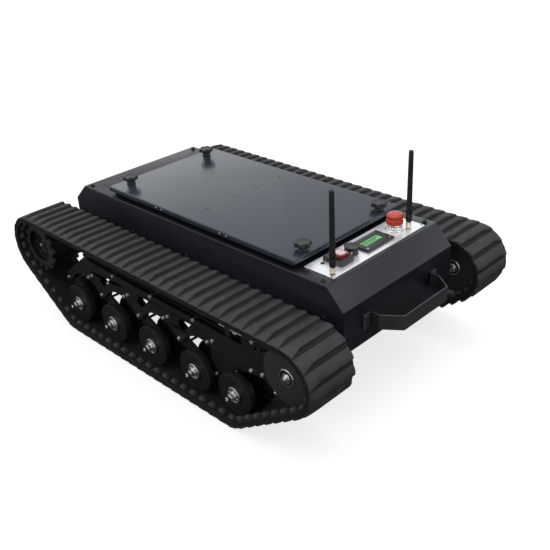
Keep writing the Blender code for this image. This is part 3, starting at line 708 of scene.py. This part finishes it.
def build_road_wheels():
    bm = bmesh.new()
    r = WHEEL_R
    lathe(bm, local([(0.0, 258.0), (17.0, 258.0), (18.0, 259.4), (42.0, 259.4), (43.0, 258.0),
        (r - 2.4, 258.0), (r - 0.7, 258.7), (r, 260.4), (r, 273.6), (r - 0.7, 275.3),
        (r - 2.4, 276.0), (20.0, 276.0), (9.0, 279.0), (8.0, 282.0), (8.0, 308.0), (9.0, 311.0),
        (20.0, 314.0), (r - 2.4, 314.0), (r - 0.7, 314.7), (r, 316.4), (r, 329.6), (r - 0.7, 331.3),
        (r - 2.4, 332.0), (45.6, 332.0), (45.1, 331.4), (44.3, 331.4), (43.8, 332.0), (24.0, 332.0),
        (23.0, 331.0), (0.0, 331.0)]), count=72)
    disc_left = piece("road_wheel_disc_1_left", bm, [NYLON], "wheel_1_left", "wheel_grey",
        ["road_wheel_1_left"], angle=26.0, at=WHEELS[0])
    disc_left.location.y = TRACK_Y * MM

    bm = bmesh.new()
    lathe(bm, local([(0.0, 331.0), (20.0, 331.0), (20.0, 334.4), (19.2, 335.2), (17.4, 335.2),
        (17.0, 333.4), (15.2, 333.4), (14.8, 335.2), (10.5, 335.2), (10.5, 338.0), (9.8, 338.8),
        (9.2, 338.8), (9.2, 339.4, 6), (9.2, 345.4, 6), (8.0, 346.2, 6), (5.4, 346.2), (5.4, 355.0),
        (4.6, 356.0), (2.2, 356.0), (1.8, 355.2), (0.0, 355.2)]), count=48, m=0)
    for k in range(4):
        a = math.radians(45.0 + 90.0 * k)
        bolt(bm, (12.6 * math.cos(a), 335.0 - TRACK_Y, 12.6 * math.sin(a)), OUT, 1.9, 1.4,
            washer=False)
    lathe(bm, local([(0.0, 258.5), (11.0, 258.5), (11.0, 256.0), (7.6, 255.4, 6), (7.6, 250.4, 6),
        (4.2, 250.0), (4.2, 247.0), (0.0, 247.0)]), count=36)
    hub_left = piece("wheel_hub_1_left", bm, [TURNED], "wheel_1_left", "zinc_steel", angle=28.0,
        at=WHEELS[0])
    hub_left.location.y = TRACK_Y * MM

    for side, sign in SIDES:
        for i, wheel in enumerate(WHEELS):
            if side == "left" and i == 0:
                continue
            number = i + 1
            body = "wheel_%d_%s" % (number, side)
            at = (wheel.x, TRACK_Y, wheel.z)
            disc = again(disc_left, "road_wheel_disc_%d_%s" % (number, side), body, "wheel_grey",
                ["road_wheel_%d_%s" % (number, side)], at, sign)
            hub = again(hub_left, "wheel_hub_%d_%s" % (number, side), body, "zinc_steel", (), at,
                sign)
            turn = 0.5 * i
            for obj in (disc, hub):
                obj.rotation_euler = (0.0, turn, math.pi if sign < 0.0 else 0.0)


def build_idler(side, sign):
    r = IDLER_R
    body = "idler_" + side
    bm = bmesh.new()
    lathe(bm, local([(0.0, 252.0), (20.0, 252.0), (22.0, 250.0), (r - 2.0, 250.0), (r - 0.6, 250.6),
        (r, 252.0), (r, 268.0), (r - 0.6, 269.4), (r - 2.0, 270.0), (26.0, 270.0), (11.0, 275.0),
        (9.0, 279.0), (9.0, 311.0), (11.0, 315.0), (26.0, 320.0), (r - 2.0, 320.0),
        (r - 0.6, 320.6), (r, 322.0), (r, 338.0), (r - 0.6, 339.4), (r - 2.0, 340.0), (21.6, 340.0),
        (21.0, 339.0), (0.0, 339.0)]), count=96)
    piece("idler_disc_" + side, bm, [GREY], body, "sprocket_grey", ["idler_wheel_" + side],
        angle=26.0, at=(IDLER.x, TRACK_Y, IDLER.z), sign=sign)
    bm = bmesh.new()
    for flip in (1.0, -1.0):
        face = 340.0 if flip > 0.0 else 250.0
        base = face - TRACK_Y
        lathe(bm, [(0.0, -1.5), (20.4, -1.5), (20.4, 1.4), (19.6, 2.2), (17.0, 2.2), (16.6, -0.8),
            (12.4, -0.8), (12.0, 2.0), (9.8, 2.0), (9.0, 1.0), (9.0, 2.4), (8.4, 3.2), (7.4, 3.2),
            (7.4, 4.0, 6), (7.4, 6.6, 6), (6.4, 7.4, 6), (4.0, 7.4), (4.0, 9.8), (3.2, 10.4),
            (0.0, 10.4)], (0.0, base, 0.0), OUT * flip, 48)
        lathe(bm, [(16.9, -0.6), (16.9, 0.2), (12.2, 0.2), (12.2, -0.6)], (0.0, base, 0.0),
            OUT * flip, 48, m=1)
        if flip < 0.0:
            lathe(bm, [(4.0, 9.0), (6.6, 9.6), (6.6, 11.6), (5.0, 12.2), (6.2, 13.0), (6.2, 15.0),
                (4.0, 15.6), (0.0, 15.6)], (0.0, base, 0.0), OUT * flip, 36)
    piece("idler_bearing_" + side, bm, [TURNED, SEAL_AND_GROOVE_SHADE], body, "zinc_steel", angle=28.0,
        at=(IDLER.x, TRACK_Y, IDLER.z), sign=sign)


def build_tensioner(side, sign):
    body = "idler_carrier_body_" + side
    lo, hi = PLATES_Y[0][1] + 0.4, PLATES_Y[1][0] - 0.4
    outline = [(310.0, 202.0), (440.0, 194.0)] + arc(IDLER.x, IDLER.z, 17.0, -90.0, 90.0, 16)
    outline += [(440.0, 222.0), (310.0, 222.0)]
    bm = bmesh.new()
    prism(bm, outline, lo, hi, holes=[circle(IDLER.x, IDLER.z, 9.6, 28)])
    piece("idler_slide_" + side, bm, [PLATE], body, "zinc_steel", ["idler_carrier_" + side],
        bevel=0.8, sign=sign)
    bm = bmesh.new()
    thread = [(0.0, 222.0), (3.2, 222.0)]
    for k in range(46):
        x = 223.0 + 2.0 * k
        thread += [(4.0, x), (3.4, x + 1.0)]
    thread += [(4.0, 316.0), (0.0, 316.0)]
    lathe(bm, thread, (0.0, TRACK_Y, 212.0), AHEAD, 20)
    lathe(bm, [(3.0, 270.0), (6.6, 270.0, 6), (7.4, 270.8, 6), (7.4, 279.2, 6), (6.6, 280.0, 6),
        (3.0, 280.0)], (0.0, TRACK_Y, 212.0), AHEAD, 36)
    piece("tension_screw_" + side, bm, [STEEL], body, "zinc_steel", angle=24.0, sign=sign)


def gear_outline():
    pts = []
    step = 2.0 * math.pi / SPROCKET_TEETH
    for k in range(SPROCKET_TEETH):
        for frac, r in ((-0.36, SPROCKET_ROOT_R), (-0.27, 63.0), (-0.205, 69.6), (-0.15, 71.4),
                (0.0, SPROCKET_TIP_R), (0.15, 71.4), (0.205, 69.6), (0.27, 63.0),
                (0.36, SPROCKET_ROOT_R)):
            a = (k + frac) * step
            pts.append((r * math.cos(a), r * math.sin(a)))
    return pts


def build_drive(side, sign):
    body = "sprocket_" + side
    at = (SPROCKET.x, TRACK_Y, SPROCKET.z)
    bm = bmesh.new()
    for lo, hi in ((251.0, 260.0), (330.0, 339.0)):
        prism(bm, gear_outline(), lo - TRACK_Y, hi - TRACK_Y, holes=[circle(0.0, 0.0, 45.0, 56)])
    piece("sprocket_rings_" + side, bm, [GREY], body, "sprocket_grey", ["drive_sprocket_" + side],
        bevel=0.7, at=at, sign=sign)
    bm = bmesh.new()
    lathe(bm, local([(42.0, 250.0), (47.0, 250.0), (47.0, 340.0), (46.2, 340.8), (43.8, 340.8),
        (43.0, 340.0), (43.0, 326.5), (41.5, 325.0), (24.0, 325.0), (20.0, 322.5), (13.0, 322.5),
        (13.0, 319.0), (42.0, 319.0), (42.0, 250.0)]), count=72)
    piece("sprocket_drum_" + side, bm, [NYLON], body, "sprocket_grey", bevel=0.0, angle=28.0, at=at,
        sign=sign)
    bm = bmesh.new()
    lathe(bm, local([(0.0, 319.0), (12.6, 319.0), (12.6, 326.0), (11.6, 327.0), (8.6, 327.0),
        (8.6, 329.0), (0.0, 329.0)]), count=48)
    lathe(bm, local([(0.0, 329.0), (4.6, 329.0, 6), (4.6, 333.0, 6), (3.8, 333.8, 6),
        (0.0, 333.8)]), count=36, m=1)
    for k in range(6):
        a = math.radians(60.0 * k)
        bolt(bm, (33.0 * math.cos(a), 325.0 - TRACK_Y, 33.0 * math.sin(a)), OUT, 3.4, 2.8,
            m=1 if k == 2 else 0, washer=False)
    piece("sprocket_bolts_" + side, bm, [PLASTIC, STEEL], body, "zinc_steel", angle=28.0, at=at,
        sign=sign)

    bm = bmesh.new()
    bracket = [(-512.0, 196.0), (-500.0, 160.0), (-440.0, 160.0), (-392.0, 200.0), (-392.0, 240.0),
        (-430.0, 262.0), (-480.0, 262.0), (-500.0, 246.0)]
    prism(bm, bracket, 195.4, 201.3)
    piece("motor_bracket_" + side, bm, [PLATE], "chassis", "motor_metal", ["hub_motor_" + side],
        bevel=0.8, sign=sign)
    bm = bmesh.new()
    shell = [(0.0, 201.0), (40.0, 201.0), (40.0, 209.0), (38.0, 211.0)]
    for k in range(14):
        y = 214.0 + 6.6 * k
        shell += [(36.0, y), (36.0, y + 2.2), (38.0, y + 3.0), (38.0, y + 6.0)]
    shell += [(38.0, 311.0), (37.0, 312.0), (14.0, 312.0), (14.0, 318.6), (0.0, 318.6)]
    lathe(bm, shell, (SPROCKET.x, 0.0, SPROCKET.z), OUT, 56)
    piece("hub_motor_can_" + side, bm, [ALU], "chassis", "motor_metal", angle=28.0, sign=sign)
    bm = bmesh.new()
    for x, z in ((-403.0, 234.0), (-404.0, 207.0), (-418.0, 188.0), (-450.0, 170.0)):
        bolt(bm, (x, 201.3, z), OUT, 5.0, 4.0)
    piece("bracket_screws_" + side, bm, [PLASTIC], "chassis", "zinc_steel", sign=sign)


# ------------------------------------------------------------------ hull, lid and handle

def build_hull():
    dress("hull_tub", PAINT, bevel=1.4, segments=3)
    dress("lid_gasket", SEAL_AND_GROOVE_SHADE, bevel=0.8)
    for end in ("rear", "front"):
        dress("belly_beam_" + end, PLATE, bevel=1.0)
    bm = bmesh.new()
    for y in (-180.0, 180.0):
        bolt(bm, (428.0, y, DECK_Z), UP, 5.2, 3.4, washer=True)
        bolt(bm, (-405.0, y, DECK_Z), UP, 5.2, 3.4, washer=True)
    for y in (-137.0, 137.0):
        bolt(bm, (478.0, y, 193.0), -UP, 4.2, 4.0)
    for x in (-414.0, -220.0, 0.0, 220.0, 440.0):
        for sign in (-1.0, 1.0):
            bolt(bm, (x, sign * 195.0, 268.0), OUT * sign, 3.6, 2.6, washer=False)
    for x in (-440.0, -300.0, -120.0, 60.0, 300.0, 440.0):
        for y in (-172.0, 172.0):
            bolt(bm, (x, y, 193.0), -UP, 3.8, 2.8, washer=True)
    piece("hull_screws", bm, [PLASTIC], "chassis", "black_paint")


def build_lid():
    lo, hi = box_mm("hull_lid")
    holes = [circle(0.0, y, 2.6, 20) for y in LID_HOLES_Y]
    bm = bmesh.new()
    slab(bm, lo.x, hi.x, lo.y, hi.y, 3.0, [(lo.z, 0.8), (lo.z + 0.6, 0.0), (hi.z - 2.2, 0.0),
        (hi.z - 1.2, 0.35), (hi.z - 0.4, 1.1), (hi.z, 2.4)], holes)
    piece("lid_cover", bm, [LID_PAINT], "lid", "black_paint", ["hull_lid"], angle=25.0)
    bm = bmesh.new()
    for sign in (-1.0, 1.0):
        for x in (-118.0, -96.0, 118.0, 140.0):
            bolt(bm, (x, sign * hi.y, 359.0), OUT * sign, 2.3, 1.2, washer=False)
    piece("lid_edge_screws", bm, [STEEL], "lid", "zinc_steel")
    for end in ("rear", "front"):
        for side, _ in SIDES:
            node = "lid_knob_%s_%s" % (end, side)
            centre = mid(node)
            bm = bmesh.new()
            loops = []
            for z, scale in ((375.3, 0.86), (375.7, 0.95), (376.8, 1.0), (382.2, 1.0),
                    (384.4, 0.975), (385.6, 0.92), (386.0, 0.83), (385.6, 0.70), (385.0, 0.64),
                    (385.0, 0.2)):
                loop = []
                for i in range(96):
                    a = 2.0 * math.pi * i / 96
                    r = (18.1 + 1.75 * math.tanh(2.0 * math.cos(6.0 * a))) * scale
                    loop.append((centre.x + r * math.cos(a), centre.y + r * math.sin(a), z))
                loops.append(loop)
            skin(bm, loops)
            lathe(bm, [(0.0, 336.0), (3.0, 336.0), (3.0, 365.3), (11.8, 365.3), (11.8, 366.8),
                (10.4, 369.0), (10.2, 375.6), (0.0, 375.6)], (centre.x, centre.y, 0.0), UP, 28)
            piece("star_knob_%s_%s" % (end, side), bm, [PLASTIC], "knob_%s_%s" % (end, side),
                "black_plastic", [node], angle=30.0)


def build_handle():
    line = [(495.8, 132.0), (495.8, 108.6), (519.4, 108.6), (561.2, 78.4), (561.2, 0.0)]
    half = fillet(line, 5.0)
    centre = half + [(x, -y) for x, y in reversed(half[:-1])]
    one, two = [], []
    for i, p in enumerate(centre):
        a = Vector(centre[max(i - 1, 0)])
        b = Vector(centre[min(i + 1, len(centre) - 1)])
        d = (b - a).normalized()
        n = Vector((-d.y, d.x)) * 1.5
        one.append((p[0] + n.x, p[1] + n.y))
        two.append((p[0] - n.x, p[1] - n.y))
    outline = one + two[::-1]
    bm = bmesh.new()
    loops = []
    for z in (228.0, 264.0):
        loops.append([(x, y, z) for x, y in outline])
    count = len(outline)
    rings = [[bm.verts.new(Vector(p) * MM) for p in loop] for loop in loops]
    for i in range(count):
        j = (i + 1) % count
        bm.faces.new((rings[0][i], rings[0][j], rings[1][j], rings[1][i]))
    steps = len(one)
    for ring in rings:
        for i in range(steps - 1):
            bm.faces.new((ring[i], ring[i + 1], ring[count - 2 - i], ring[count - 1 - i]))
    piece("pull_bar", bm, [BAR], "chassis", "black_paint", ["pull_handle"], bevel=0.7)
    bm = bmesh.new()
    for sign in (-1.0, 1.0):
        for z in (237.0, 255.0):
            bolt(bm, (497.3, sign * 122.0, z), AHEAD, 4.0, 3.6)
    piece("pull_bar_screws", bm, [PLASTIC], "chassis", "black_paint")


# ------------------------------------------------------------------ control panel

def build_panel():
    lo, hi = box_mm("control_panel")
    stop, socket = mid("estop_head"), (400.0, -52.0)
    holes = [circle(stop.x, stop.y, 12.0, 36), circle(*socket, 9.5, 32),
        rounded(378.5, 417.5, -110.5, -81.5, 1.5), rounded(384.0, 418.0, -20.0, 54.0, 1.5)]
    antennas = {side: mid("antenna_" + side) for side, _ in SIDES}
    holes += [circle(a.x, a.y, 3.6, 20) for a in antennas.values()]
    bm = bmesh.new()
    slab(bm, lo.x, hi.x, lo.y, hi.y, 2.0, [(lo.z, 0.0), (hi.z - 0.4, 0.0), (hi.z, 0.4)], holes)
    piece("panel_plate", bm, [BRUSHED], "chassis", "brushed_steel", ["control_panel"], angle=30.0)
    bm = bmesh.new()
    for x, y in ((364.0, -157.0), (435.0, -160.0), (364.0, 157.0), (435.0, 157.0)):
        bolt(bm, (x, y, hi.z), UP, 3.0, 1.6, washer=False)
    piece("panel_screws", bm, [STEEL], "chassis", "zinc_steel")
    bm = bmesh.new()
    lathe(bm, [(0.0, hi.z), (4.6, hi.z), (4.6, hi.z + 1.2), (3.8, hi.z + 1.8), (3.0, hi.z + 1.2),
        (0.0, hi.z + 2.0)], (380.0, -127.0, 0.0), UP, 28)
    piece("panel_lamp", bm, [PLASTIC], "chassis", "black_plastic")

    bm = bmesh.new()
    z = hi.z + 0.3
    centre = (stop.x, stop.y, 0.0)
    lathe(bm, [(11.0, 332.0), (11.0, z), (21.0, z), (21.5, z + 0.5), (21.5, 349.1), (21.0, 349.6),
        (19.2, 350.0)], centre, UP, 80)
    loops = []
    for height, radius, rib in ((350.0, 19.2, 0.0), (350.4, 20.0, 1.8), (355.2, 20.0, 1.8),
            (355.9, 19.2, 0.0)):
        loops.append([(stop.x + (radius - rib * (i // 2 % 2)) * math.cos(math.pi * i / 40),
            stop.y + (radius - rib * (i // 2 % 2)) * math.sin(math.pi * i / 40),
            height) for i in range(80)])
    skin(bm, loops, caps=False)
    lathe(bm, [(19.2, 355.9), (16.4, 355.9), (15.4, 356.6), (15.4, 365.4), (7.2, 366.0),
        (7.2, 332.0), (11.0, 332.0)], centre, UP, 80)
    piece("stop_collar", bm, [CHROME], "chassis", "chrome", ["estop_base"], angle=28.0)
    bm = bmesh.new()
    lathe(bm, [(0.0, 334.0), (6.2, 334.0), (6.2, 371.2), (5.6, 371.7), (0.0, 371.7)], centre, UP,
        28)
    piece("stop_plunger", bm, [PLASTIC], "estop_plunger_body", "black_plastic", ["estop_plunger"])
    bm = bmesh.new()
    loops = []
    for height, radius, rib in ((372.0, 16.5, 0.0), (360.8, 16.5, 0.0), (360.5, 17.6, 0.0),
            (361.0, 19.0, 0.4), (362.2, 19.8, 1.3), (370.2, 19.8, 1.3), (371.6, 19.0, 0.4),
            (372.6, 17.8, 0.0), (374.6, 17.8, 0.0), (375.4, 18.8, 0.5), (377.0, 19.7, 1.1),
            (381.0, 19.6, 1.1), (383.4, 18.4, 0.7), (385.0, 16.0, 0.0), (385.7, 12.0, 0.0),
            (386.0, 6.0, 0.0)):
        loop = []
        for i in range(96):
            a = 2.0 * math.pi * i / 96
            r = radius - rib * (0.5 - 0.5 * math.tanh(3.0 * math.cos(16.0 * a)))
            loop.append((stop.x + r * math.cos(a), stop.y + r * math.sin(a), height))
        loops.append(loop)
    skin(bm, loops)
    piece("stop_button", bm, [RED], "estop_head_body", "red_plastic", ["estop_head"], angle=35.0)

    for side, a in antennas.items():
        bm = bmesh.new()
        lathe(bm, [(0.0, 334.0), (3.2, 334.0), (3.2, z), (7.2, z, 6), (7.2, 349.4, 6), (3.0, 349.8),
            (3.0, 360.0), (0.0, 360.0)], (a.x, a.y, 0.0), UP, 36)
        piece("antenna_nut_" + side, bm, [BRASS], "chassis", "brass", ["antenna_socket_" + side])
        bm = bmesh.new()
        grip = [(6.2 if k % 2 else 5.8, 352.0 + 1.1 * k) for k in range(13)]
        lathe(bm, [(3.3, 352.0), (5.9, 351.0)] + grip + [(6.1, 366.6), (3.3, 367.0)],
            (a.x, a.y, 0.0), UP, 36)
        piece("antenna_ferrule_" + side, bm, [BRASS], "antenna_" + side, "brass")
        bm = bmesh.new()
        lathe(bm, [(3.4, 360.6), (3.4, 367.0), (6.8, 367.2), (7.1, 368.0), (7.1, 383.0),
            (6.7, 383.8), (6.7, 385.0), (7.1, 385.8), (7.0, 396.0), (6.3, 400.5), (6.0, 440.0),
            (5.7, 500.0), (5.4, 532.5), (4.9, 534.8), (3.6, 535.8), (0.0, 536.0)], (a.x, a.y, 0.0),
            UP, 32)
        piece("antenna_whip_" + side, bm, [WHIP], "antenna_" + side, "antenna_rubber",
            ["antenna_" + side], angle=34.0)
    build_switch_and_meter(z)
    build_charge_port(socket, z)


def build_switch_and_meter(z):
    lo, hi = box_mm("rocker_housing")
    bm = bmesh.new()
    cx, cy = 0.5 * (lo.x + hi.x), 0.5 * (lo.y + hi.y)
    well = rounded(cx - 16.5, cx + 16.5, cy - 11.0, cy + 11.0, 1.5)
    slab(bm, lo.x, hi.x, lo.y, hi.y, 2.5, [(z, 0.0), (355.6, 0.0), (357.0, 0.7), (358.0, 2.4)],
        [well])
    slab(bm, cx - 18.5, cx + 18.5, cy - 13.0, cy + 13.0, 1.5, [(322.0, 0.0), (z, 0.0)], [well])
    piece("switch_frame", bm, [PLASTIC], "chassis", "black_plastic", ["rocker_housing"], angle=25.0)
    tilt = math.radians(-8.0)

    def turned(a, b):
        return (cy + a * math.cos(tilt) - b * math.sin(tilt),
            352.0 + a * math.sin(tilt) + b * math.cos(tilt))

    bm = bmesh.new()
    outline = [(-16.3, 14.6), (-16.3, 9.8), (-9.5, 7.5), (-9.0, -6.8), (9.0, -6.8), (9.5, 7.5),
        (16.3, 9.8), (16.3, 14.6)]
    top = [(15.4 - 30.8 * k / 12, 12.4 + 2.4 * ((k - 6) / 6.0) ** 2) for k in range(13)]
    prism(bm, [turned(a, b) for a, b in outline + top], cx - 15.4, cx + 15.4, axis="x")
    piece("switch_rocker", bm, [ROCKER_RED], "rocker", "red_plastic", ["rocker_switch"], bevel=0.7)
    bm = bmesh.new()
    crown = [(12.6 - 25.2 * k / 12,
        12.5 + 2.4 * ((2.1 * k - 12.6) / 15.4) ** 2 + 0.5) for k in range(13)]
    floor = [(a, b - 1.4) for a, b in reversed(crown)]
    prism(bm, [turned(a, b) for a, b in crown + floor], cx - 11.5, cx + 11.5, axis="x")
    piece("switch_lens", bm, [LENS], "rocker", "red_plastic", bevel=0.4)

    lo, hi = box_mm("charge_meter")
    bm = bmesh.new()
    window = rounded(388.0, 410.0, -16.0, 48.0, 1.0)
    slab(bm, lo.x, hi.x, lo.y, hi.y, 2.5, [(z, 0.0), (350.4, 0.0), (351.6, 0.7), (352.0, 1.6)],
        [window])
    slab(bm, 385.5, 416.5, -18.5, 52.5, 1.0, [(334.0, 0.0), (347.5, 0.0)])
    piece("meter_bezel", bm, [PLASTIC], "chassis", "black_plastic", ["charge_meter"], angle=25.0)
    bm = bmesh.new()
    slab(bm, 387.5, 410.5, -16.5, 48.5, 0.5, [(347.0, 0.0), (349.6, 0.0)])
    piece("meter_display", bm, [LCD], "chassis", "black_plastic")
    bm = bmesh.new()
    for k in range(9):
        y = -11.0 + 6.2 * k
        slab(bm, 392.0, 402.0 if k < 7 else 397.0, y, y + 4.2, 0.4, [(349.3, 0.0), (349.9, 0.0)])
    slab(bm, 404.6, 406.0, -12.0, 44.0, 0.3, [(349.3, 0.0), (349.9, 0.0)])
    piece("meter_segments", bm, [LCD_DARK], "chassis", "black_plastic")
    bm = bmesh.new()
    slab(bm, 377.6, 381.0, -22.0, 56.0, 1.0, [(351.6, 0.0), (352.3, 0.2)])
    piece("meter_trim", bm, [ALU], "chassis", "brushed_steel")
    bm = bmesh.new()
    for x, y in ((419.5, -22.0), (419.5, 56.0)):
        bolt(bm, (x, y, 351.8), UP, 2.4, 1.0, washer=False)
    piece("meter_screws", bm, [STEEL], "chassis", "zinc_steel")


def build_charge_port(socket, z):
    sx, sy = socket
    bm = bmesh.new()
    lathe(bm, [(0.0, 332.0), (9.0, 332.0), (9.0, z), (14.0, z), (14.0, z + 1.0), (13.2, z + 2.0),
        (13.2, 359.2), (13.8, 359.8), (13.8, 360.8), (10.6, 361.0), (10.2, 352.0), (0.0, 352.0)],
        (sx, sy, 0.0), UP, 40)
    for k in range(3):
        a = math.radians(90.0 + 120.0 * k)
        lathe(bm, [(0.0, 350.0), (1.6, 350.0), (1.6, 358.0), (0.0, 359.0)], (sx + 5.0 * math.cos(a),
            sy + 5.0 * math.sin(a), 0.0), UP, 12)
    slab(bm, sx - 20.5, sx - 11.0, sy - 3.0, sy + 3.0, 0.8, [(z, 0.0), (350.0, 0.0)])
    slab(bm, sx - 20.5, sx - 16.0, sy - 3.0, sy + 3.0, 0.8, [(349.0, 0.0), (360.0, 0.0)])
    piece("charge_port", bm, [PLASTIC], "chassis", "black_plastic", ["charge_socket"], angle=28.0)
    bm = bmesh.new()
    slab(bm, sx + 4.0, sx + 9.0, 351.0, 357.0, 1.0, [(sy - 13.6, 0.0), (sy - 11.0, 0.0)], axis="y")
    piece("charge_port_latch", bm, [CHROME], "chassis", "chrome")
    bm = bmesh.new()
    loops = []
    for height, radius in ((361.4, 15.6), (361.8, 16.4), (364.4, 16.5), (365.4, 15.8),
            (365.9, 14.2), (365.4, 12.6), (365.2, 4.0)):
        loop = []
        for i in range(60):
            a = 2.0 * math.pi * i / 60
            r = radius - 0.35 * (i % 2) * (radius > 15.0)
            loop.append((sx + r * math.cos(a), sy + r * math.sin(a), height))
        loops.append(loop)
    skin(bm, loops)
    slab(bm, sx - 20.5, sx - 12.0, sy - 4.0, sy + 4.0, 1.2, [(361.4, 0.0), (364.4, 0.0),
        (365.0, 0.6)])
    piece("charge_lid", bm, [PLASTIC], "cap", "black_plastic", ["charge_cap"], angle=28.0)


# ------------------------------------------------------------------ inside the hull

def build_inside():
    lo, hi = box_mm("battery_pack")
    bm = bmesh.new()
    slab(bm, lo.x, hi.x, lo.y, hi.y, 9.0, [(lo.z, 3.0), (lo.z + 2.0, 0.8), (lo.z + 5.0, 0.0),
        (hi.z - 8.0, 0.0), (hi.z - 4.0, 0.8), (hi.z - 2.6, 3.0)])
    piece("battery_case", bm, [WRAP], "chassis", "battery_blue", ["battery_pack"], angle=40.0)
    bm = bmesh.new()
    for x in (-200.0, -75.0):
        slab(bm, x - 12.0, x + 12.0, lo.y - 0.8, hi.y + 0.8, 1.0, [(lo.z + 1.0, 0.0),
            (hi.z - 1.6, 0.0)])
    piece("battery_straps", bm, [STRAP], "chassis", "battery_blue", bevel=0.8)
    bm = bmesh.new()
    for y in (-40.0, 40.0):
        lathe(bm, [(0.0, hi.z - 3.0), (9.0, hi.z - 3.0), (9.0, hi.z - 1.5), (5.0, hi.z - 1.2),
            (5.0, hi.z), (0.0, hi.z)], (-137.0, y, 0.0), UP, 28)
    piece("battery_posts", bm, [STEEL], "chassis", "battery_blue")
    lo, hi = box_mm("motor_controller")
    bm = bmesh.new()
    slab(bm, lo.x, hi.x, lo.y, hi.y, 4.0, [(lo.z, 0.0), (hi.z - 18.0, 0.0), (hi.z - 17.0, 1.0)])
    for k in range(14):
        y = lo.y + 8.0 + k * 12.2
        slab(bm, lo.x + 6.0, hi.x - 6.0, y, y + 4.0, 1.0, [(hi.z - 18.0, 0.0), (hi.z - 0.8, 0.0),
            (hi.z, 0.8)])
    piece("controller_case", bm, [ALU], "chassis", "controller_metal", ["motor_controller"],
        angle=35.0)


# ------------------------------------------------------------------ stage

def build_stage():
    mesh = bpy.data.meshes.new("studio_floor")
    half = 40.0
    mesh.from_pydata([(-half, -half, 0.0), (half, -half, 0.0), (half, half, 0.0),
        (-half, half, 0.0)], [], [(0, 1, 2, 3)])
    floor = bpy.data.objects.new("studio_floor", mesh)
    bpy.context.scene.collection.objects.link(floor)
    mat = bpy.data.materials.new("pale_floor")
    mat.use_nodes = True
    bsdf = mat.node_tree.nodes["Principled BSDF"]
    bsdf.inputs["Base Color"].default_value = (0.34, 0.34, 0.34, 1.0)
    bsdf.inputs["Roughness"].default_value = 0.9
    bsdf.inputs["Emission Color"].default_value = (1.0, 1.0, 1.0, 1.0)
    bsdf.inputs["Emission Strength"].default_value = 0.72
    mesh.materials.append(mat)
    floor.visible_glossy = False
    floor.visible_diffuse = False

    # white overhead and dark below, so the sides of the black parts stay dark
    world = bpy.data.worlds.new("studio")
    world.use_nodes = True
    tree = world.node_tree
    split = tree.nodes.new("ShaderNodeSeparateXYZ")
    link(tree, tree.nodes.new("ShaderNodeTexCoord").outputs["Generated"], split.inputs["Vector"])
    sky = remap(tree, split.outputs["Z"], -0.25, 0.0, 0.0, 1.0)
    shade = mix_colour(tree, sky, (0.07, 0.07, 0.075), (0.95, 0.98, 1.0))
    link(tree, shade, tree.nodes["Background"].inputs["Color"])
    tree.nodes["Background"].inputs["Strength"].default_value = 1.0
    bpy.context.scene.world = world
    lamps = (("key", (-0.6, -1.9, 2.6), 1.8, 14.0), ("top", (0.3, 0.2, 3.4), 2.4, 30.0), ("front",
        (2.6, 0.6, 1.9), 1.6, 8.0))
    for name, at, size, power in lamps:
        data = bpy.data.lights.new(name, "AREA")
        data.shape = "SQUARE"
        data.size = size
        data.energy = power
        lamp = bpy.data.objects.new(name, data)
        bpy.context.scene.collection.objects.link(lamp)
        lamp.location = at
        aim = Vector((0.0, 0.0, 0.2)) - Vector(at)
        lamp.rotation_euler = aim.to_track_quat("-Z", "Y").to_euler()
    bpy.context.scene.view_settings.view_transform = "Standard"


def build_camera():
    data = bpy.data.cameras.new("camera")
    data.lens = CAMERA_LENS
    data.sensor_width = 36.0
    data.clip_end = 200.0
    camera = bpy.data.objects.new("camera", data)
    bpy.context.scene.collection.objects.link(camera)
    rotation = Matrix((CAMERA_RIGHT, CAMERA_UP, CAMERA_BACK)).transposed()
    camera.matrix_world = Matrix.Translation(CAMERA_AT) @ rotation.to_4x4()
    bpy.context.scene.camera = camera


build_camera()
build_stage()
build_hull()
build_lid()
build_handle()
build_panel()
build_inside()
build_road_wheels()
for side_name, side_sign in SIDES:
    build_belt(side_name, side_sign)
    build_side_frame(side_name, side_sign)
    build_suspension(side_name, side_sign)
    build_idler(side_name, side_sign)
    build_tensioner(side_name, side_sign)
    build_drive(side_name, side_sign)
